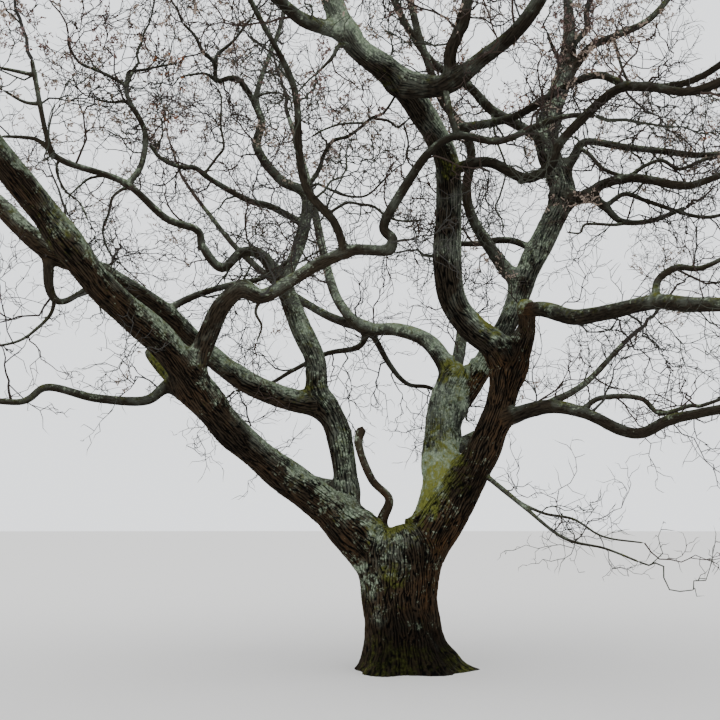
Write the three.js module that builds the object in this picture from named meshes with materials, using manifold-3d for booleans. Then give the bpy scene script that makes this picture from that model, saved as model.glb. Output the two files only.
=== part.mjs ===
// A bare old oak, low forked and wide: one trunk, the boughs that the fork carries, and a mass of twigs
// on the tip of each bough. Millimetres, +X right, +Y away from the viewer, +Z up, and the origin on the
// ground under the trunk.

import * as THREE from 'three';
import { mergeVertices } from 'three/addons/utils/BufferGeometryUtils.js';
import Module from 'manifold-3d';

const wasm = await Module();
wasm.setup();

// The trunk: wide at the ground, narrowest at the waist, and wide again where it forks.
const waistRadius = 395;
const waistHeight = 740;
const trunkTop = 1470;
const forkSpread = 100;
const flareHeight = 150;
const footShift = 45;
const waistShift = -48;
const trunkSides = 26;
const trunkRings = [0, 70, 170, 320, 530, 780, 1020, 1200, 1330, 1420, 1470];
const crownOfTrunk = 330;
const crownStart = 1180;
const crownBend = 2.2;
const forkBend = 1.5;
const forkOval = 0.5;
const flareRing = 40;
const fluteCount = 5;
const fluteDepth = 14;
const fluteTwist = 300;
const spurNarrowness = 7;

// Root spurs: the way each one faces, in degrees from +X towards +Y, and how far it runs out.
const rootSpurs = [
  [-6, 330],
  [58, 170],
  [118, 150],
  [178, 110],
  [236, 210],
  [300, 190],
];

// Neighbouring pieces stand this far apart.
const gap = 0.35;

// Limb sections: rings on each stretch between two points of a route.
const ringsPerStretch = 1.5;

// Twigs: each mass has one stem, its branches and their twigs. A shoot's length is a share of its
// parent's, and its angle to the parent is in radians.
const massSeed = 90;
const stemSides = 5;
const twigSides = 3;
const branchSpacing = 480;
const stemWander = 0.2;
const branchKind = { share: 0.58, spread: 0.95, wander: 0.3, steps: 3, finest: 20 };
const twigKind = { share: 0.46, spread: 0.85, wander: 0.22, steps: 1, finest: 9 };
const lift = 0.07;
const goldenTurn = 2.39996;
const stemTurn = 6;
const nearRoot = 1.15;
const fallToTip = 0.5;
const rootSink = 0.16;
const shootShare = 0.5;
const tipShare = 0.2;
const massWidth = 0.55;
const cellMargin = 45;
const limbClearance = 35;
const groundClearance = 900;
const spotSpacing = 60;

// Bark and twig colours.
const barkDark = { color: 0x4a4238, roughness: 0.95, metalness: 0 };
const barkGrey = { color: 0x6a685c, roughness: 0.95, metalness: 0 };
const barkMossy = { color: 0x666a4c, roughness: 0.95, metalness: 0 };
const barkBrown = { color: 0x55473a, roughness: 0.95, metalness: 0 };
const twigBrown = { color: 0x4d4540, roughness: 0.9, metalness: 0 };

// The boughs, each with the limb that it leaves, its thickness at even steps from root to tip, the points
// that its middle runs through, and the reach of the twigs on its tip.
const limbs = [
  {
    name: 'left_bough',
    from: 'trunk',
    look: barkGrey,
    sides: 10,
    thick: [470, 325, 290, 265, 150],
    reach: 2500,
    route: [
      [-120, 0, 960], [-760, -150, 1650], [-1390, -500, 2120], [-1930, -950, 2640],
      [-2340, -1500, 3220], [-2830, -2100, 3660], [-3300, -2600, 4300], [-3900, -3000, 5000],
      [-4600, -3350, 5500],
    ],
  },
  {
    name: 'right_stem',
    from: 'trunk',
    look: barkBrown,
    sides: 10,
    thick: [480, 440, 345, 318, 322, 270, 185, 135],
    route: [
      [110, -20, 960],
      [500, -50, 1640],
      [820, -50, 2170],
      [1050, -80, 2700],
      [1175, -100, 3140],
      [1320, -100, 3470],
      [1400, -100, 3700],
      [1380, -120, 3950],
    ],
  },
  {
    name: 'back_stem',
    from: 'trunk',
    look: barkMossy,
    sides: 10,
    thick: [400, 400, 380, 280],
    route: [
      [150, 60, 960], [430, 120, 1830], [440, 250, 2230], [490, 400, 2690],
      [590, 500, 3070], [740, 550, 3330],
    ],
  },
  {
    name: 'left_riser',
    from: 'left_bough',
    look: barkBrown,
    sides: 8,
    thick: [290, 265, 245, 200],
    route: [
      [-600, -60, 1480], [-600, 120, 1900], [-720, 200, 2580], [-930, 220, 2960],
      [-970, 250, 3360], [-1150, 250, 3770], [-1380, 250, 4350],
    ],
  },
  {
    name: 'left_arch',
    from: 'left_riser',
    look: barkGrey,
    sides: 8,
    thick: [225, 240, 205, 200, 115],
    reach: 2300,
    route: [
      [-860, 210, 2830], [-1190, 150, 2880], [-1670, -100, 3040], [-2120, -450, 3350],
      [-2520, -900, 3690], [-2990, -1350, 3950], [-3470, -1750, 4120], [-4000, -1850, 4600],
      [-4750, -1550, 5150],
    ],
  },
  {
    name: 'crossing_bough',
    from: 'left_bough',
    look: barkDark,
    sides: 6,
    thick: [215, 165, 130, 105],
    route: [
      [-2130, -1230, 2940], [-1960, -1300, 3350], [-1810, -1450, 3610], [-1610, -1500, 3770],
      [-1420, -1450, 3710], [-1200, -1400, 3840], [-870, -1450, 4030], [-530, -1600, 4130],
      [-220, -1800, 4080],
    ],
  },
  {
    name: 'crossing_bough_far',
    from: 'crossing_bough',
    look: barkDark,
    sides: 6,
    thick: [100, 90, 68, 42],
    reach: 1100,
    route: [
      [-225, -1800, 4075], [-150, -1850, 4170], [-230, -1850, 4310], [-40, -1950, 4640],
      [200, -2000, 4980], [470, -2000, 5140], [880, -1900, 5130], [1300, -1750, 5360],
      [1600, -1700, 5470], [1850, -1750, 5450],
    ],
  },
  {
    name: 'crossing_riser',
    from: 'crossing_bough',
    look: barkDark,
    sides: 6,
    thick: [85, 76, 60, 45],
    reach: 2100,
    route: [
      [-600, -1570, 4110], [-710, -1700, 4390], [-950, -1850, 4640], [-1030, -2000, 4950],
      [-1050, -2200, 5410], [-1150, -2350, 5690], [-1370, -2600, 6030], [-1700, -2950, 6600],
    ],
  },
  {
    name: 'winding_riser',
    from: 'left_riser',
    look: barkDark,
    sides: 6,
    thick: [165, 130, 110, 65, 50],
    reach: 2100,
    route: [
      [-1370, 250, 4260], [-1180, 350, 4720], [-1090, 450, 5210], [-1150, 500, 5460],
      [-1420, 550, 5620], [-1720, 700, 6080], [-1680, 800, 6460], [-1770, 900, 6770],
      [-1710, 1000, 7170], [-1480, 1300, 8140], [-1520, 1450, 8800],
    ],
  },
  {
    name: 'winding_limb',
    from: 'left_riser',
    look: barkDark,
    sides: 6,
    thick: [150, 105, 85, 70, 42],
    reach: 1800,
    route: [
      [-1375, 245, 4270], [-1580, 100, 4550], [-1800, 0, 4560], [-2010, -100, 4350],
      [-2220, -150, 4580], [-2280, -200, 4760], [-2600, -400, 4840], [-3010, -650, 5160],
      [-3570, -1050, 5260], [-3700, -1150, 5460], [-3860, -1300, 6270],
    ],
  },
  {
    name: 'winding_fork',
    from: 'winding_limb',
    look: barkDark,
    sides: 6,
    thick: [66, 60, 36],
    reach: 1500,
    route: [
      [-2985, -640, 5115], [-2840, -600, 5380], [-2840, -500, 5800], [-3030, -450, 6170],
      [-3090, -400, 6360], [-3030, -350, 6600],
    ],
  },
  {
    name: 'low_left_limb',
    from: 'left_bough',
    look: barkGrey,
    sides: 6,
    thick: [150, 88, 72, 55],
    reach: 2000,
    route: [
      [-2020, -1070, 2760], [-2360, -1100, 2870], [-2590, -1150, 2720], [-3030, -1350, 2720],
      [-3420, -1600, 2790], [-3650, -1750, 2630], [-4300, -2000, 2700],
    ],
  },
  {
    name: 'centre_stem',
    from: 'right_stem',
    look: barkBrown,
    sides: 10,
    thick: [340, 315, 305, 300, 305, 300, 280, 255],
    route: [
      [1180, -100, 3200],
      [1010, -150, 3470],
      [800, -230, 3620],
      [610, -310, 3830],
      [515, -400, 4070],
      [485, -560, 4430],
      [490, -800, 4910],
      [425, -1100, 5300],
    ],
  },
  {
    name: 'centre_stem_top',
    from: 'centre_stem',
    look: barkGrey,
    sides: 8,
    thick: [250, 250, 170, 95],
    reach: 2600,
    route: [
      [430, -1070, 5270], [165, -1500, 5590], [-155, -1900, 5815], [-550, -2300, 5985],
      [-800, -2750, 6480], [-850, -3300, 7300], [-700, -3800, 8100],
    ],
  },
  {
    name: 'centre_right_fork',
    from: 'centre_stem_top',
    look: barkGrey,
    sides: 6,
    thick: [240, 180, 130, 75],
    reach: 2400,
    route: [
      [-90, -1820, 5775], [220, -1950, 5660], [410, -2100, 5640], [660, -2300, 5760],
      [1040, -2700, 5970], [1500, -3100, 6700], [2000, -3400, 7400],
    ],
  },
  {
    name: 'centre_left_fork',
    from: 'centre_stem_top',
    look: barkGrey,
    sides: 6,
    thick: [155, 125, 95, 60],
    reach: 2300,
    route: [
      [-575, -2340, 6020], [-780, -2500, 5980], [-1000, -2700, 5970], [-1300, -3000, 6100],
      [-2000, -3500, 6500], [-2700, -3900, 7100],
    ],
  },
  {
    name: 'front_right_limb',
    from: 'centre_stem',
    look: barkDark,
    sides: 6,
    thick: [120, 98, 85, 60],
    reach: 2200,
    route: [
      [468, -985, 5150], [670, -1250, 5140], [860, -1450, 5080], [1150, -1700, 4830],
      [1350, -1900, 4880], [1450, -2050, 5080], [1820, -2500, 5350], [2040, -2750, 5290],
      [2370, -3200, 5060], [2950, -3600, 5300], [3400, -3900, 5900],
    ],
  },
  {
    name: 'back_arch',
    from: 'back_stem',
    look: barkMossy,
    sides: 8,
    thick: [240, 160, 125, 100, 65],
    reach: 2300,
    route: [
      [650, 525, 3180], [380, 750, 3650], [30, 1050, 3870], [-390, 1400, 3970],
      [-680, 1650, 4280], [-870, 1900, 4780], [-1120, 2300, 5950], [-1230, 2500, 6460],
      [-1500, 2850, 7400],
    ],
  },
  {
    name: 'tall_stem',
    from: 'back_stem',
    look: barkBrown,
    sides: 8,
    thick: [300, 262, 250, 255, 285, 290, 300],
    route: [
      [530, 430, 2700],
      [810, 560, 3090],
      [1100, 680, 3540],
      [1365, 800, 4000],
      [1610, 950, 4600],
      [1900, 1050, 5160],
      [2115, 1150, 5680],
    ],
  },
  {
    name: 'tall_stem_top',
    from: 'tall_stem',
    look: barkGrey,
    sides: 8,
    thick: [300, 275, 255, 130, 80],
    reach: 2600,
    route: [
      [2105, 1148, 5655], [1980, 1350, 6310], [2090, 1550, 6920], [2310, 1750, 7540],
      [2450, 1950, 8220], [2450, 2100, 9000], [2250, 2200, 9800],
    ],
  },
  {
    name: 'slanting_limb',
    from: 'tall_stem',
    look: barkDark,
    sides: 6,
    thick: [190, 122, 100, 90, 65],
    reach: 2500,
    route: [
      [1495, 915, 4430], [1250, 800, 4660], [920, 600, 5110], [820, 500, 5470],
      [870, 350, 5890], [740, 250, 6170], [500, 150, 6490], [340, 50, 6890],
      [180, -50, 7410], [50, -200, 8200], [100, -250, 9000],
    ],
  },
  {
    name: 'inner_limb',
    from: 'tall_stem_top',
    look: barkDark,
    sides: 6,
    thick: [150, 112, 95, 60],
    reach: 2100,
    route: [
      [1990, 1370, 6420], [1520, 1100, 6570], [1190, 950, 6700], [900, 800, 6940],
      [440, 650, 7190], [60, 500, 7710], [-200, 700, 8500],
    ],
  },
  {
    name: 'upper_right_limb',
    from: 'slanting_limb',
    look: barkDark,
    sides: 6,
    thick: [110, 88, 80, 58],
    reach: 2200,
    route: [
      [745, 250, 6160], [1050, 0, 6110], [1350, -300, 6090], [1730, -700, 6200],
      [2040, -1100, 6180], [2320, -1500, 5870], [2750, -2200, 5650], [3500, -2600, 6200],
    ],
  },
  {
    name: 'right_limb',
    from: 'tall_stem',
    look: barkGrey,
    sides: 6,
    thick: [200, 120, 95, 65],
    reach: 2300,
    route: [
      [2050, 1120, 5610], [2330, 900, 5520], [2540, 800, 5650], [2880, 600, 5660],
      [3310, 350, 5480], [3560, 200, 5470], [4500, 0, 5800],
    ],
  },
  {
    name: 'right_back_limb',
    from: 'tall_stem_top',
    look: barkDark,
    sides: 6,
    thick: [150, 95, 75, 55],
    reach: 2200,
    route: [
      [2055, 1180, 5810], [2270, 1200, 6140], [2430, 1150, 6340], [2890, 1000, 6210],
      [3290, 800, 6080], [3720, 700, 5990], [4400, 1300, 6300], [5000, 2000, 6800],
    ],
  },
  {
    name: 'top_right_limb',
    from: 'tall_stem_top',
    look: barkDark,
    sides: 6,
    thick: [135, 112, 95, 70],
    reach: 2200,
    route: [
      [2240, 1680, 7330], [2490, 1650, 7680], [2670, 1600, 7880], [3040, 1550, 8030],
      [3470, 1500, 8250], [4000, 1500, 8900],
    ],
  },
  {
    name: 'side_limb',
    from: 'right_stem',
    look: barkMossy,
    sides: 6,
    thick: [152, 165, 135, 90],
    reach: 2300,
    route: [
      [1385, -118, 3870], [1550, -400, 3810], [1790, -750, 3650], [2060, -1150, 3620],
      [2370, -1650, 3610], [2640, -2150, 3470], [3250, -2500, 3450], [3900, -2750, 3800],
    ],
  },
  {
    name: 'low_right_limb',
    from: 'right_stem',
    look: barkMossy,
    sides: 6,
    thick: [180, 125, 105, 70],
    reach: 2200,
    route: [
      [1015, -75, 2620], [1260, -300, 2690], [1550, -500, 2740], [1860, -750, 2640],
      [2140, -1050, 2440], [2300, -1250, 2390], [2500, -1450, 2490], [2750, -1700, 2540],
      [3400, -2150, 2650], [3950, -2450, 3000],
    ],
  },
  {
    name: 'dead_stub',
    from: 'trunk',
    look: barkDark,
    sides: 6,
    thick: [110, 90, 85, 95, 115],
    route: [
      [-200, 40, 1360], [-210, 50, 1560], [-140, 20, 1790], [-330, 0, 2000],
      [-470, 0, 2370], [-430, 0, 2580],
    ],
  },
  {
    name: 'rear_right_bough',
    from: 'back_stem',
    look: barkGrey,
    sides: 6,
    thick: [210, 160, 120, 80],
    reach: 2300,
    route: [
      [480, 380, 2650], [700, 1100, 3300], [900, 2000, 4200], [900, 2900, 5300],
      [950, 3700, 6500],
    ],
  },
  {
    name: 'rear_left_bough',
    from: 'back_arch',
    look: barkGrey,
    sides: 6,
    thick: [140, 115, 90, 65],
    reach: 2300,
    route: [
      [-370, 1390, 3960], [-900, 2200, 4300], [-1600, 3000, 4900], [-2300, 3500, 5600],
      [-2900, 3900, 6400],
    ],
  },
  {
    name: 'low_rear_right_bough',
    from: 'back_stem',
    look: barkGrey,
    sides: 6,
    thick: [190, 145, 105, 75],
    reach: 2200,
    route: [
      [430, 270, 2260], [1100, 1400, 2650], [1900, 2500, 3050], [2750, 3300, 3500],
      [3500, 3800, 4200],
    ],
  },
  {
    name: 'low_rear_left_bough',
    from: 'left_riser',
    look: barkGrey,
    sides: 6,
    thick: [185, 140, 105, 75],
    reach: 2300,
    route: [
      [-605, 120, 1880], [-1000, 600, 1990], [-1550, 1250, 2250], [-2420, 2300, 3150],
      [-3300, 2700, 4100], [-4200, 2800, 5000],
    ],
  },
];

// Even steps between the listed thicknesses give the radius at a share of the limb's length.
function radiusAt(thick, share) {
  const step = Math.min(share, 0.99999) * (thick.length - 1);
  const first = Math.floor(step);
  const part = step - first;
  return (thick[first] * (1 - part) + thick[first + 1] * part) / 2;
}

// Sections along a path: each has its centre, the way the path runs and two ways across it.
function sectionsAlong(centres, headings) {
  let side = Math.abs(headings[0].y) < 0.8 ? new THREE.Vector3(0, 1, 0) : new THREE.Vector3(1, 0, 0);
  return centres.map((centre, i) => {
    const along = headings[i];
    side = side.clone().addScaledVector(along, -side.dot(along)).normalize();
    return { centre, along, side, across: side.clone().cross(along) };
  });
}

// Bends a cylinder round the sections. The cylinder's top row is the last section.
function bendRound(cylinder, sections, radii, overrun) {
  const last = sections.length - 1;
  const spots = cylinder.attributes.position;
  const spot = new THREE.Vector3();
  for (let i = 0; i < spots.count; i++) {
    spot.fromBufferAttribute(spots, i);
    const row = Math.round((spot.y + 0.5) * last);
    const { centre, along, side, across } = sections[row];
    const out = Math.hypot(spot.x, spot.z);
    const place = centre.clone();
    if (out > 1e-6) {
      place.addScaledVector(side, (spot.x / out) * radii[row]);
      place.addScaledVector(across, (spot.z / out) * radii[row]);
    }
    if (row === 0) place.addScaledVector(along, -overrun);
    if (row === last) place.addScaledVector(along, overrun);
    spots.setXYZ(i, place.x, place.y, place.z);
  }
  return cylinder;
}

// A closed three.js geometry becomes a solid that can be joined and cut.
function toSolid(geometry) {
  geometry.deleteAttribute('normal');
  geometry.deleteAttribute('uv');
  const merged = mergeVertices(geometry, 0.001);
  return new wasm.Manifold(new wasm.Mesh({
    numProp: 3,
    vertProperties: new Float32Array(merged.attributes.position.array),
    triVerts: new Uint32Array(merged.index.array),
  }));
}

function toMesh(name, solid, look) {
  const { vertProperties, triVerts } = solid.getMesh();
  const geometry = new THREE.BufferGeometry();
  geometry.setAttribute('position', new THREE.BufferAttribute(new Float32Array(vertProperties), 3));
  geometry.setIndex(new THREE.BufferAttribute(new Uint32Array(triVerts), 1));
  geometry.computeVertexNormals();
  const mesh = new THREE.Mesh(geometry, new THREE.MeshStandardMaterial(look));
  mesh.name = name;
  return mesh;
}

// A cut can leave a scrap behind: only the largest body is the limb.
function largestBody(solid) {
  return solid.decompose().sort((a, b) => b.volume() - a.volume())[0];
}

// How far the trunk's surface stands from its middle at one height and angle.
function trunkRadius(height, angle) {
  const rise = Math.max(0, (height - waistHeight) / (trunkTop - waistHeight));
  const oval = 1 + forkOval * Math.abs(Math.cos(angle));
  const aboveWaist = waistRadius + forkSpread * rise ** forkBend * oval;
  const sink = Math.exp(-height / flareHeight);
  let flare = flareRing * sink;
  for (const [facing, run] of rootSpurs) {
    const turn = Math.cos(angle - THREE.MathUtils.degToRad(facing));
    flare += run * sink * Math.max(0, turn) ** spurNarrowness;
  }
  return aboveWaist + flare + fluteDepth * Math.sin(angle * fluteCount + height / fluteTwist);
}

// The trunk, with extra added all round for the solid that trims its boughs.
function trunkGeometry(extra) {
  const last = trunkRings.length - 1;
  const cylinder = new THREE.CylinderGeometry(1, 1, 1, trunkSides, last);
  const spots = cylinder.attributes.position;
  const spot = new THREE.Vector3();
  for (let i = 0; i < spots.count; i++) {
    spot.fromBufferAttribute(spots, i);
    const row = Math.round((spot.y + 0.5) * last);
    const height = trunkRings[row];
    const angle = Math.atan2(spot.z, spot.x);
    const nearTop = Math.max(0, (height - crownStart) / (trunkTop - crownStart));
    const full = trunkRadius(height, angle) + extra;
    const radius = full + (crownOfTrunk - full) * nearTop ** crownBend;
    const middle = THREE.MathUtils.lerp(footShift, waistShift, Math.min(1, height / waistHeight));
    const out = Math.hypot(spot.x, spot.z) * radius;
    const up = row === last ? height + extra : height;
    spots.setXYZ(i, middle + Math.cos(angle) * out, Math.sin(angle) * out, up);
  }
  // The cylinder's own way round is turned by swapping its upright axis for +Z.
  const index = cylinder.index.array;
  for (let i = 0; i < index.length; i += 3) {
    [index[i], index[i + 1]] = [index[i + 1], index[i]];
  }
  return cylinder;
}

// A limb's path, ready to be given a skin.
function limbPath(limb) {
  const points = limb.route.map((point) => new THREE.Vector3(...point));
  const curve = new THREE.CatmullRomCurve3(points, false, 'catmullrom', 0.5);
  const rings = Math.ceil((points.length - 1) * ringsPerStretch);
  const shares = Array.from({ length: rings + 1 }, (_, i) => i / rings);
  return {
    curve,
    radii: shares.map((share) => radiusAt(limb.thick, share)),
    sections: sectionsAlong(shares.map((t) => curve.getPoint(t)), shares.map((t) => curve.getTangent(t))),
  };
}

function limbSolid(limb, extra) {
  const { sections, radii } = limbPath(limb);
  const cylinder = new THREE.CylinderGeometry(1, 1, 1, limb.sides, sections.length - 1);
  return toSolid(bendRound(cylinder, sections, radii.map((radius) => radius + extra), extra));
}

// A stream of even draws from 0 to 1, the same on every run.
function drawsFrom(seed) {
  let state = seed;
  return () => {
    state = (state * 16807) % 2147483647;
    return state / 2147483647;
  };
}

function seedOf(parentSeed, index) {
  return ((parentSeed * 48271 + index * 7919) % 2147483646) + 1;
}

// Spots along every limb, which twigs keep clear of.
function limbSpots() {
  const spots = [];
  for (const limb of limbs) {
    const { curve } = limbPath(limb);
    const count = Math.ceil(curve.getLength() / spotSpacing);
    for (let i = 0; i <= count; i++) {
      const share = i / count;
      spots.push({ place: curve.getPoint(share), radius: radiusAt(limb.thick, share) });
    }
  }
  return spots;
}

// The stem's line from a bough's tip, and the space round it that the mass keeps to.
function massSpine(limb) {
  const { curve } = limbPath(limb);
  const heading = curve.getTangent(1);
  const foot = curve.getPoint(1).addScaledVector(heading, gap);
  const head = foot.clone().addScaledVector(heading, limb.reach);
  return { foot, heading, line: new THREE.Line3(foot, head), width: limb.reach * massWidth };
}

const obstacles = limbSpots();
const bearers = limbs.filter((limb) => limb.reach);
const spines = bearers.map(massSpine);
const nearest = new THREE.Vector3();

function distanceToSpine(spine, spot) {
  spine.line.closestPointToPoint(spot, true, nearest);
  return nearest.distanceTo(spot);
}

// A spot is free when it is in its own mass's space, off the ground and clear of every limb.
function isFree(spine, spot, girth) {
  if (spot.z < groundClearance) return false;
  const own = distanceToSpine(spine, spot);
  if (own > spine.width) return false;
  for (const other of spines) {
    if (other !== spine && distanceToSpine(other, spot) < own + cellMargin) return false;
  }
  const clearance = girth + limbClearance;
  return obstacles.every(({ place, radius }) => place.distanceTo(spot) > radius + clearance);
}

// Walks a twig's joints: the heading wanders a little and turns up towards the light.
function walk(draw, foot, heading, steps, length, wander) {
  const joints = [foot.clone()];
  const headings = [heading.clone()];
  let way = heading.clone();
  for (let i = 0; i < steps; i++) {
    const push = new THREE.Vector3(draw() - 0.5, draw() - 0.5, draw() - 0.5 + lift);
    way = way.clone().addScaledVector(push, wander * 2).normalize();
    joints.push(joints[i].clone().addScaledVector(way, length / steps));
    headings.push(way);
  }
  return { joints, headings };
}

// The way a side shoot leaves its parent, turned round it by the golden angle from the one before.
function sideHeading(along, turn, spread) {
  const upright = Math.abs(along.z) < 0.9 ? new THREE.Vector3(0, 0, 1) : new THREE.Vector3(1, 0, 0);
  const side = upright.cross(along).normalize();
  const across = along.clone().cross(side);
  const out = side.multiplyScalar(Math.cos(turn)).addScaledVector(across, Math.sin(turn));
  return along.clone().multiplyScalar(Math.cos(spread)).addScaledVector(out, Math.sin(spread)).normalize();
}

// A twig thins evenly from its foot to a fifth of that, and then ends in a point.
function thicknessAt(twig, joint) {
  const share = joint / (twig.joints.length - 1);
  return twig.thick * (1 - share * (1 - tipShare));
}

function twigSolid(twig, sides) {
  const cylinder = new THREE.CylinderGeometry(0, 1, 1, sides, twig.joints.length - 1);
  const radii = twig.joints.map((_, i) => thicknessAt(twig, i) / 2);
  return toSolid(bendRound(cylinder, sectionsAlong(twig.joints, twig.headings), radii, 0));
}

// A draw from 0.8 to 1.2, so that no two shoots are alike.
function vary(draw) {
  return 0.8 + 0.4 * draw();
}

// Side shoots on one twig: each is grown, tested against its space, and skipped if any joint isn't free.
function shootsOn(spine, parent, kind) {
  const shoots = [];
  const count = parent.joints.length - 1;
  for (let i = 1; i <= count; i++) {
    const seed = seedOf(parent.seed, i);
    const draw = drawsFrom(seed);
    const turn = parent.turn + i * goldenTurn + draw();
    const heading = sideHeading(parent.headings[i], turn, kind.spread * vary(draw));
    const reach = parent.reach * kind.share * (nearRoot - (fallToTip * i) / count) * vary(draw);
    const foot = parent.joints[i].clone().lerp(parent.joints[i - 1], rootSink);
    const shoot = walk(draw, foot, heading, kind.steps, reach, kind.wander);
    shoot.thick = Math.max(kind.finest, thicknessAt(parent, i) * shootShare);
    const middles = shoot.joints.slice(1).map((joint, k) => joint.clone().lerp(shoot.joints[k], 0.5));
    const tests = [...shoot.joints.slice(1), ...middles];
    if (!tests.every((spot) => isFree(spine, spot, shoot.thick / 2))) continue;
    shoots.push({ ...shoot, seed, reach, turn });
  }
  return shoots;
}

function massSolid(limb, spine, number) {
  const seed = seedOf(massSeed, number);
  const draw = drawsFrom(seed);
  const steps = Math.round(limb.reach / branchSpacing);
  const stem = walk(draw, spine.foot, spine.heading, steps, limb.reach, stemWander);
  Object.assign(stem, { seed, reach: limb.reach, turn: draw() * stemTurn, thick: limb.thick.at(-1) });
  const solids = [twigSolid(stem, stemSides)];
  for (const branch of shootsOn(spine, stem, branchKind)) {
    solids.push(twigSolid(branch, twigSides));
    for (const twig of shootsOn(spine, branch, twigKind)) solids.push(twigSolid(twig, twigSides));
  }
  return wasm.Manifold.union(solids);
}

const group = new THREE.Group();
const trunk = toSolid(trunkGeometry(0));
group.add(toMesh('trunk', trunk, barkDark));

// Every limb is trimmed clear of the trunk and of each limb before it.
const cutters = [toSolid(trunkGeometry(gap))];
for (const limb of limbs) {
  let solid = limbSolid(limb, 0);
  for (const cutter of cutters) solid = solid.subtract(cutter);
  group.add(toMesh(limb.name, largestBody(solid), limb.look));
  cutters.push(limbSolid(limb, gap));
}

bearers.forEach((limb, number) => {
  const solid = massSolid(limb, spines[number], number);
  group.add(toMesh(`${limb.name}_twigs`, solid, twigBrown));
});

export default group;
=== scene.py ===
import math

import bmesh
import bpy
import numpy as np
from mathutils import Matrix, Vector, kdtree


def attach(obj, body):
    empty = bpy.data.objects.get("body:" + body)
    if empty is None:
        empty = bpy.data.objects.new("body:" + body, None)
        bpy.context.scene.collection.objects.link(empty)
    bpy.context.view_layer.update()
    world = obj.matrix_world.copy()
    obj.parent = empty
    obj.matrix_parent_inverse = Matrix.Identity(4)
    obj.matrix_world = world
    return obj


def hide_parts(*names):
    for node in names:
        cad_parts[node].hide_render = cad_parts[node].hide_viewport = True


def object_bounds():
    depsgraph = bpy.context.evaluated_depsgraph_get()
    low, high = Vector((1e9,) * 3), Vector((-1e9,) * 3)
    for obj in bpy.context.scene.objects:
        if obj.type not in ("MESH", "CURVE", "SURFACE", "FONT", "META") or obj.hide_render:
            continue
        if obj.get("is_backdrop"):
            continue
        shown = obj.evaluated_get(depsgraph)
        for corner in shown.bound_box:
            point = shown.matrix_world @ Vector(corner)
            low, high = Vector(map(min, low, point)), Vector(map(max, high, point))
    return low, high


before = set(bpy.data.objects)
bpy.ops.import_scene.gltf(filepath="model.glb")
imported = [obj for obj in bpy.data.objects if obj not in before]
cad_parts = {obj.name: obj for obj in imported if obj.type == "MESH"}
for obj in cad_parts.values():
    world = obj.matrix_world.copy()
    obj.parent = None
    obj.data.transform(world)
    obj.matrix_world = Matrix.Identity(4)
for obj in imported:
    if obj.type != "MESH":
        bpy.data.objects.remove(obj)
cadLow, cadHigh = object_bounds()
print("frame loaded:", len(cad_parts), "nodes")


# sRGB hex to the linear colour that a shader takes
def linear(colour):
    parts = [int(colour[i:i + 2], 16) / 255 for i in (1, 3, 5)]
    return tuple(p / 12.92 if p <= 0.04045 else ((p + 0.055) / 1.055) ** 2.4 for p in parts) + (1.0,)


# adds one node: a setting is an input's name or number, or else one of the node's own properties
def addNode(tree, kind, settings=None, links=None):
    item = tree.nodes.new(kind)
    for key, value in (settings or {}).items():
        if isinstance(key, int) or key in item.inputs:
            item.inputs[key].default_value = value
        else:
            setattr(item, key, value)
    for key, source in (links or {}).items():
        tree.links.new(source, item.inputs[key])
    return item


# Camera and stage: the photograph's low view from 11 m, a pale floor and soft light from above.

view = {"eye": (-0.457, -11.0, 1.48), "tiltUp": 9.5, "lens": 50.0, "sensor": 36.0}

cameraData = bpy.data.cameras.new("camera")
cameraData.lens = view["lens"]
cameraData.sensor_width = view["sensor"]
camera = bpy.data.objects.new("camera", cameraData)
camera.location = view["eye"]
camera.rotation_euler = (math.radians(90 + view["tiltUp"]), 0, 0)
bpy.context.collection.objects.link(camera)
bpy.context.scene.camera = camera

stage = {
    "floorRadius": 400.0,
    "floorColour": "#f7f6f4",
    "skyColour": "#e6e9ec",
    "skyLight": 0.62,           # what the sky gives the tree
    "skyShown": 2.2,            # how bright it stands behind the tree
    "lights": [  # name, turn in degrees, strength, how wide the light is in degrees
        ("overhead", (8, 0, 0), 2.6, 100),
        ("frontLeft", (58, 0, -38), 0.80, 70),
    ],
}

world = bpy.data.worlds.new("overcast")
world.use_nodes = True
bpy.context.scene.world = world
sky = world.node_tree.nodes["Background"]
sky.inputs["Color"].default_value = linear(stage["skyColour"])
skyPath = addNode(world.node_tree, "ShaderNodeLightPath")
skyStrength = addNode(world.node_tree, "ShaderNodeMath", {
    "operation": "MULTIPLY_ADD", 1: stage["skyShown"] - stage["skyLight"], 2: stage["skyLight"],
}, {0: skyPath.outputs["Is Camera Ray"]})
world.node_tree.links.new(skyStrength.outputs[0], sky.inputs["Strength"])

for name, turn, strength, wide in stage["lights"]:
    lightData = bpy.data.lights.new(name, "SUN")
    lightData.energy = strength
    lightData.angle = math.radians(wide)
    light = bpy.data.objects.new(name, lightData)
    light.rotation_euler = [math.radians(angle) for angle in turn]
    bpy.context.collection.objects.link(light)

floorMaterial = bpy.data.materials.new("paleFloor")
floorMaterial.use_nodes = True
floorShader = floorMaterial.node_tree.nodes["Principled BSDF"]
floorShader.inputs["Base Color"].default_value = linear(stage["floorColour"])
floorShader.inputs["Roughness"].default_value = 0.9
floorMesh = bpy.data.meshes.new("floor")
bm = bmesh.new()
bmesh.ops.create_circle(bm, cap_ends=True, radius=stage["floorRadius"], segments=96)
bm.to_mesh(floorMesh)
bm.free()
floor = bpy.data.objects.new("floor", floorMesh)
floorMesh.materials.append(floorMaterial)
bpy.context.collection.objects.link(floor)
floor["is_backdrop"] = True
print("camera, light and floor made")


# The tree's own measures, repeated from the part's source: millimetres in the tables.

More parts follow.
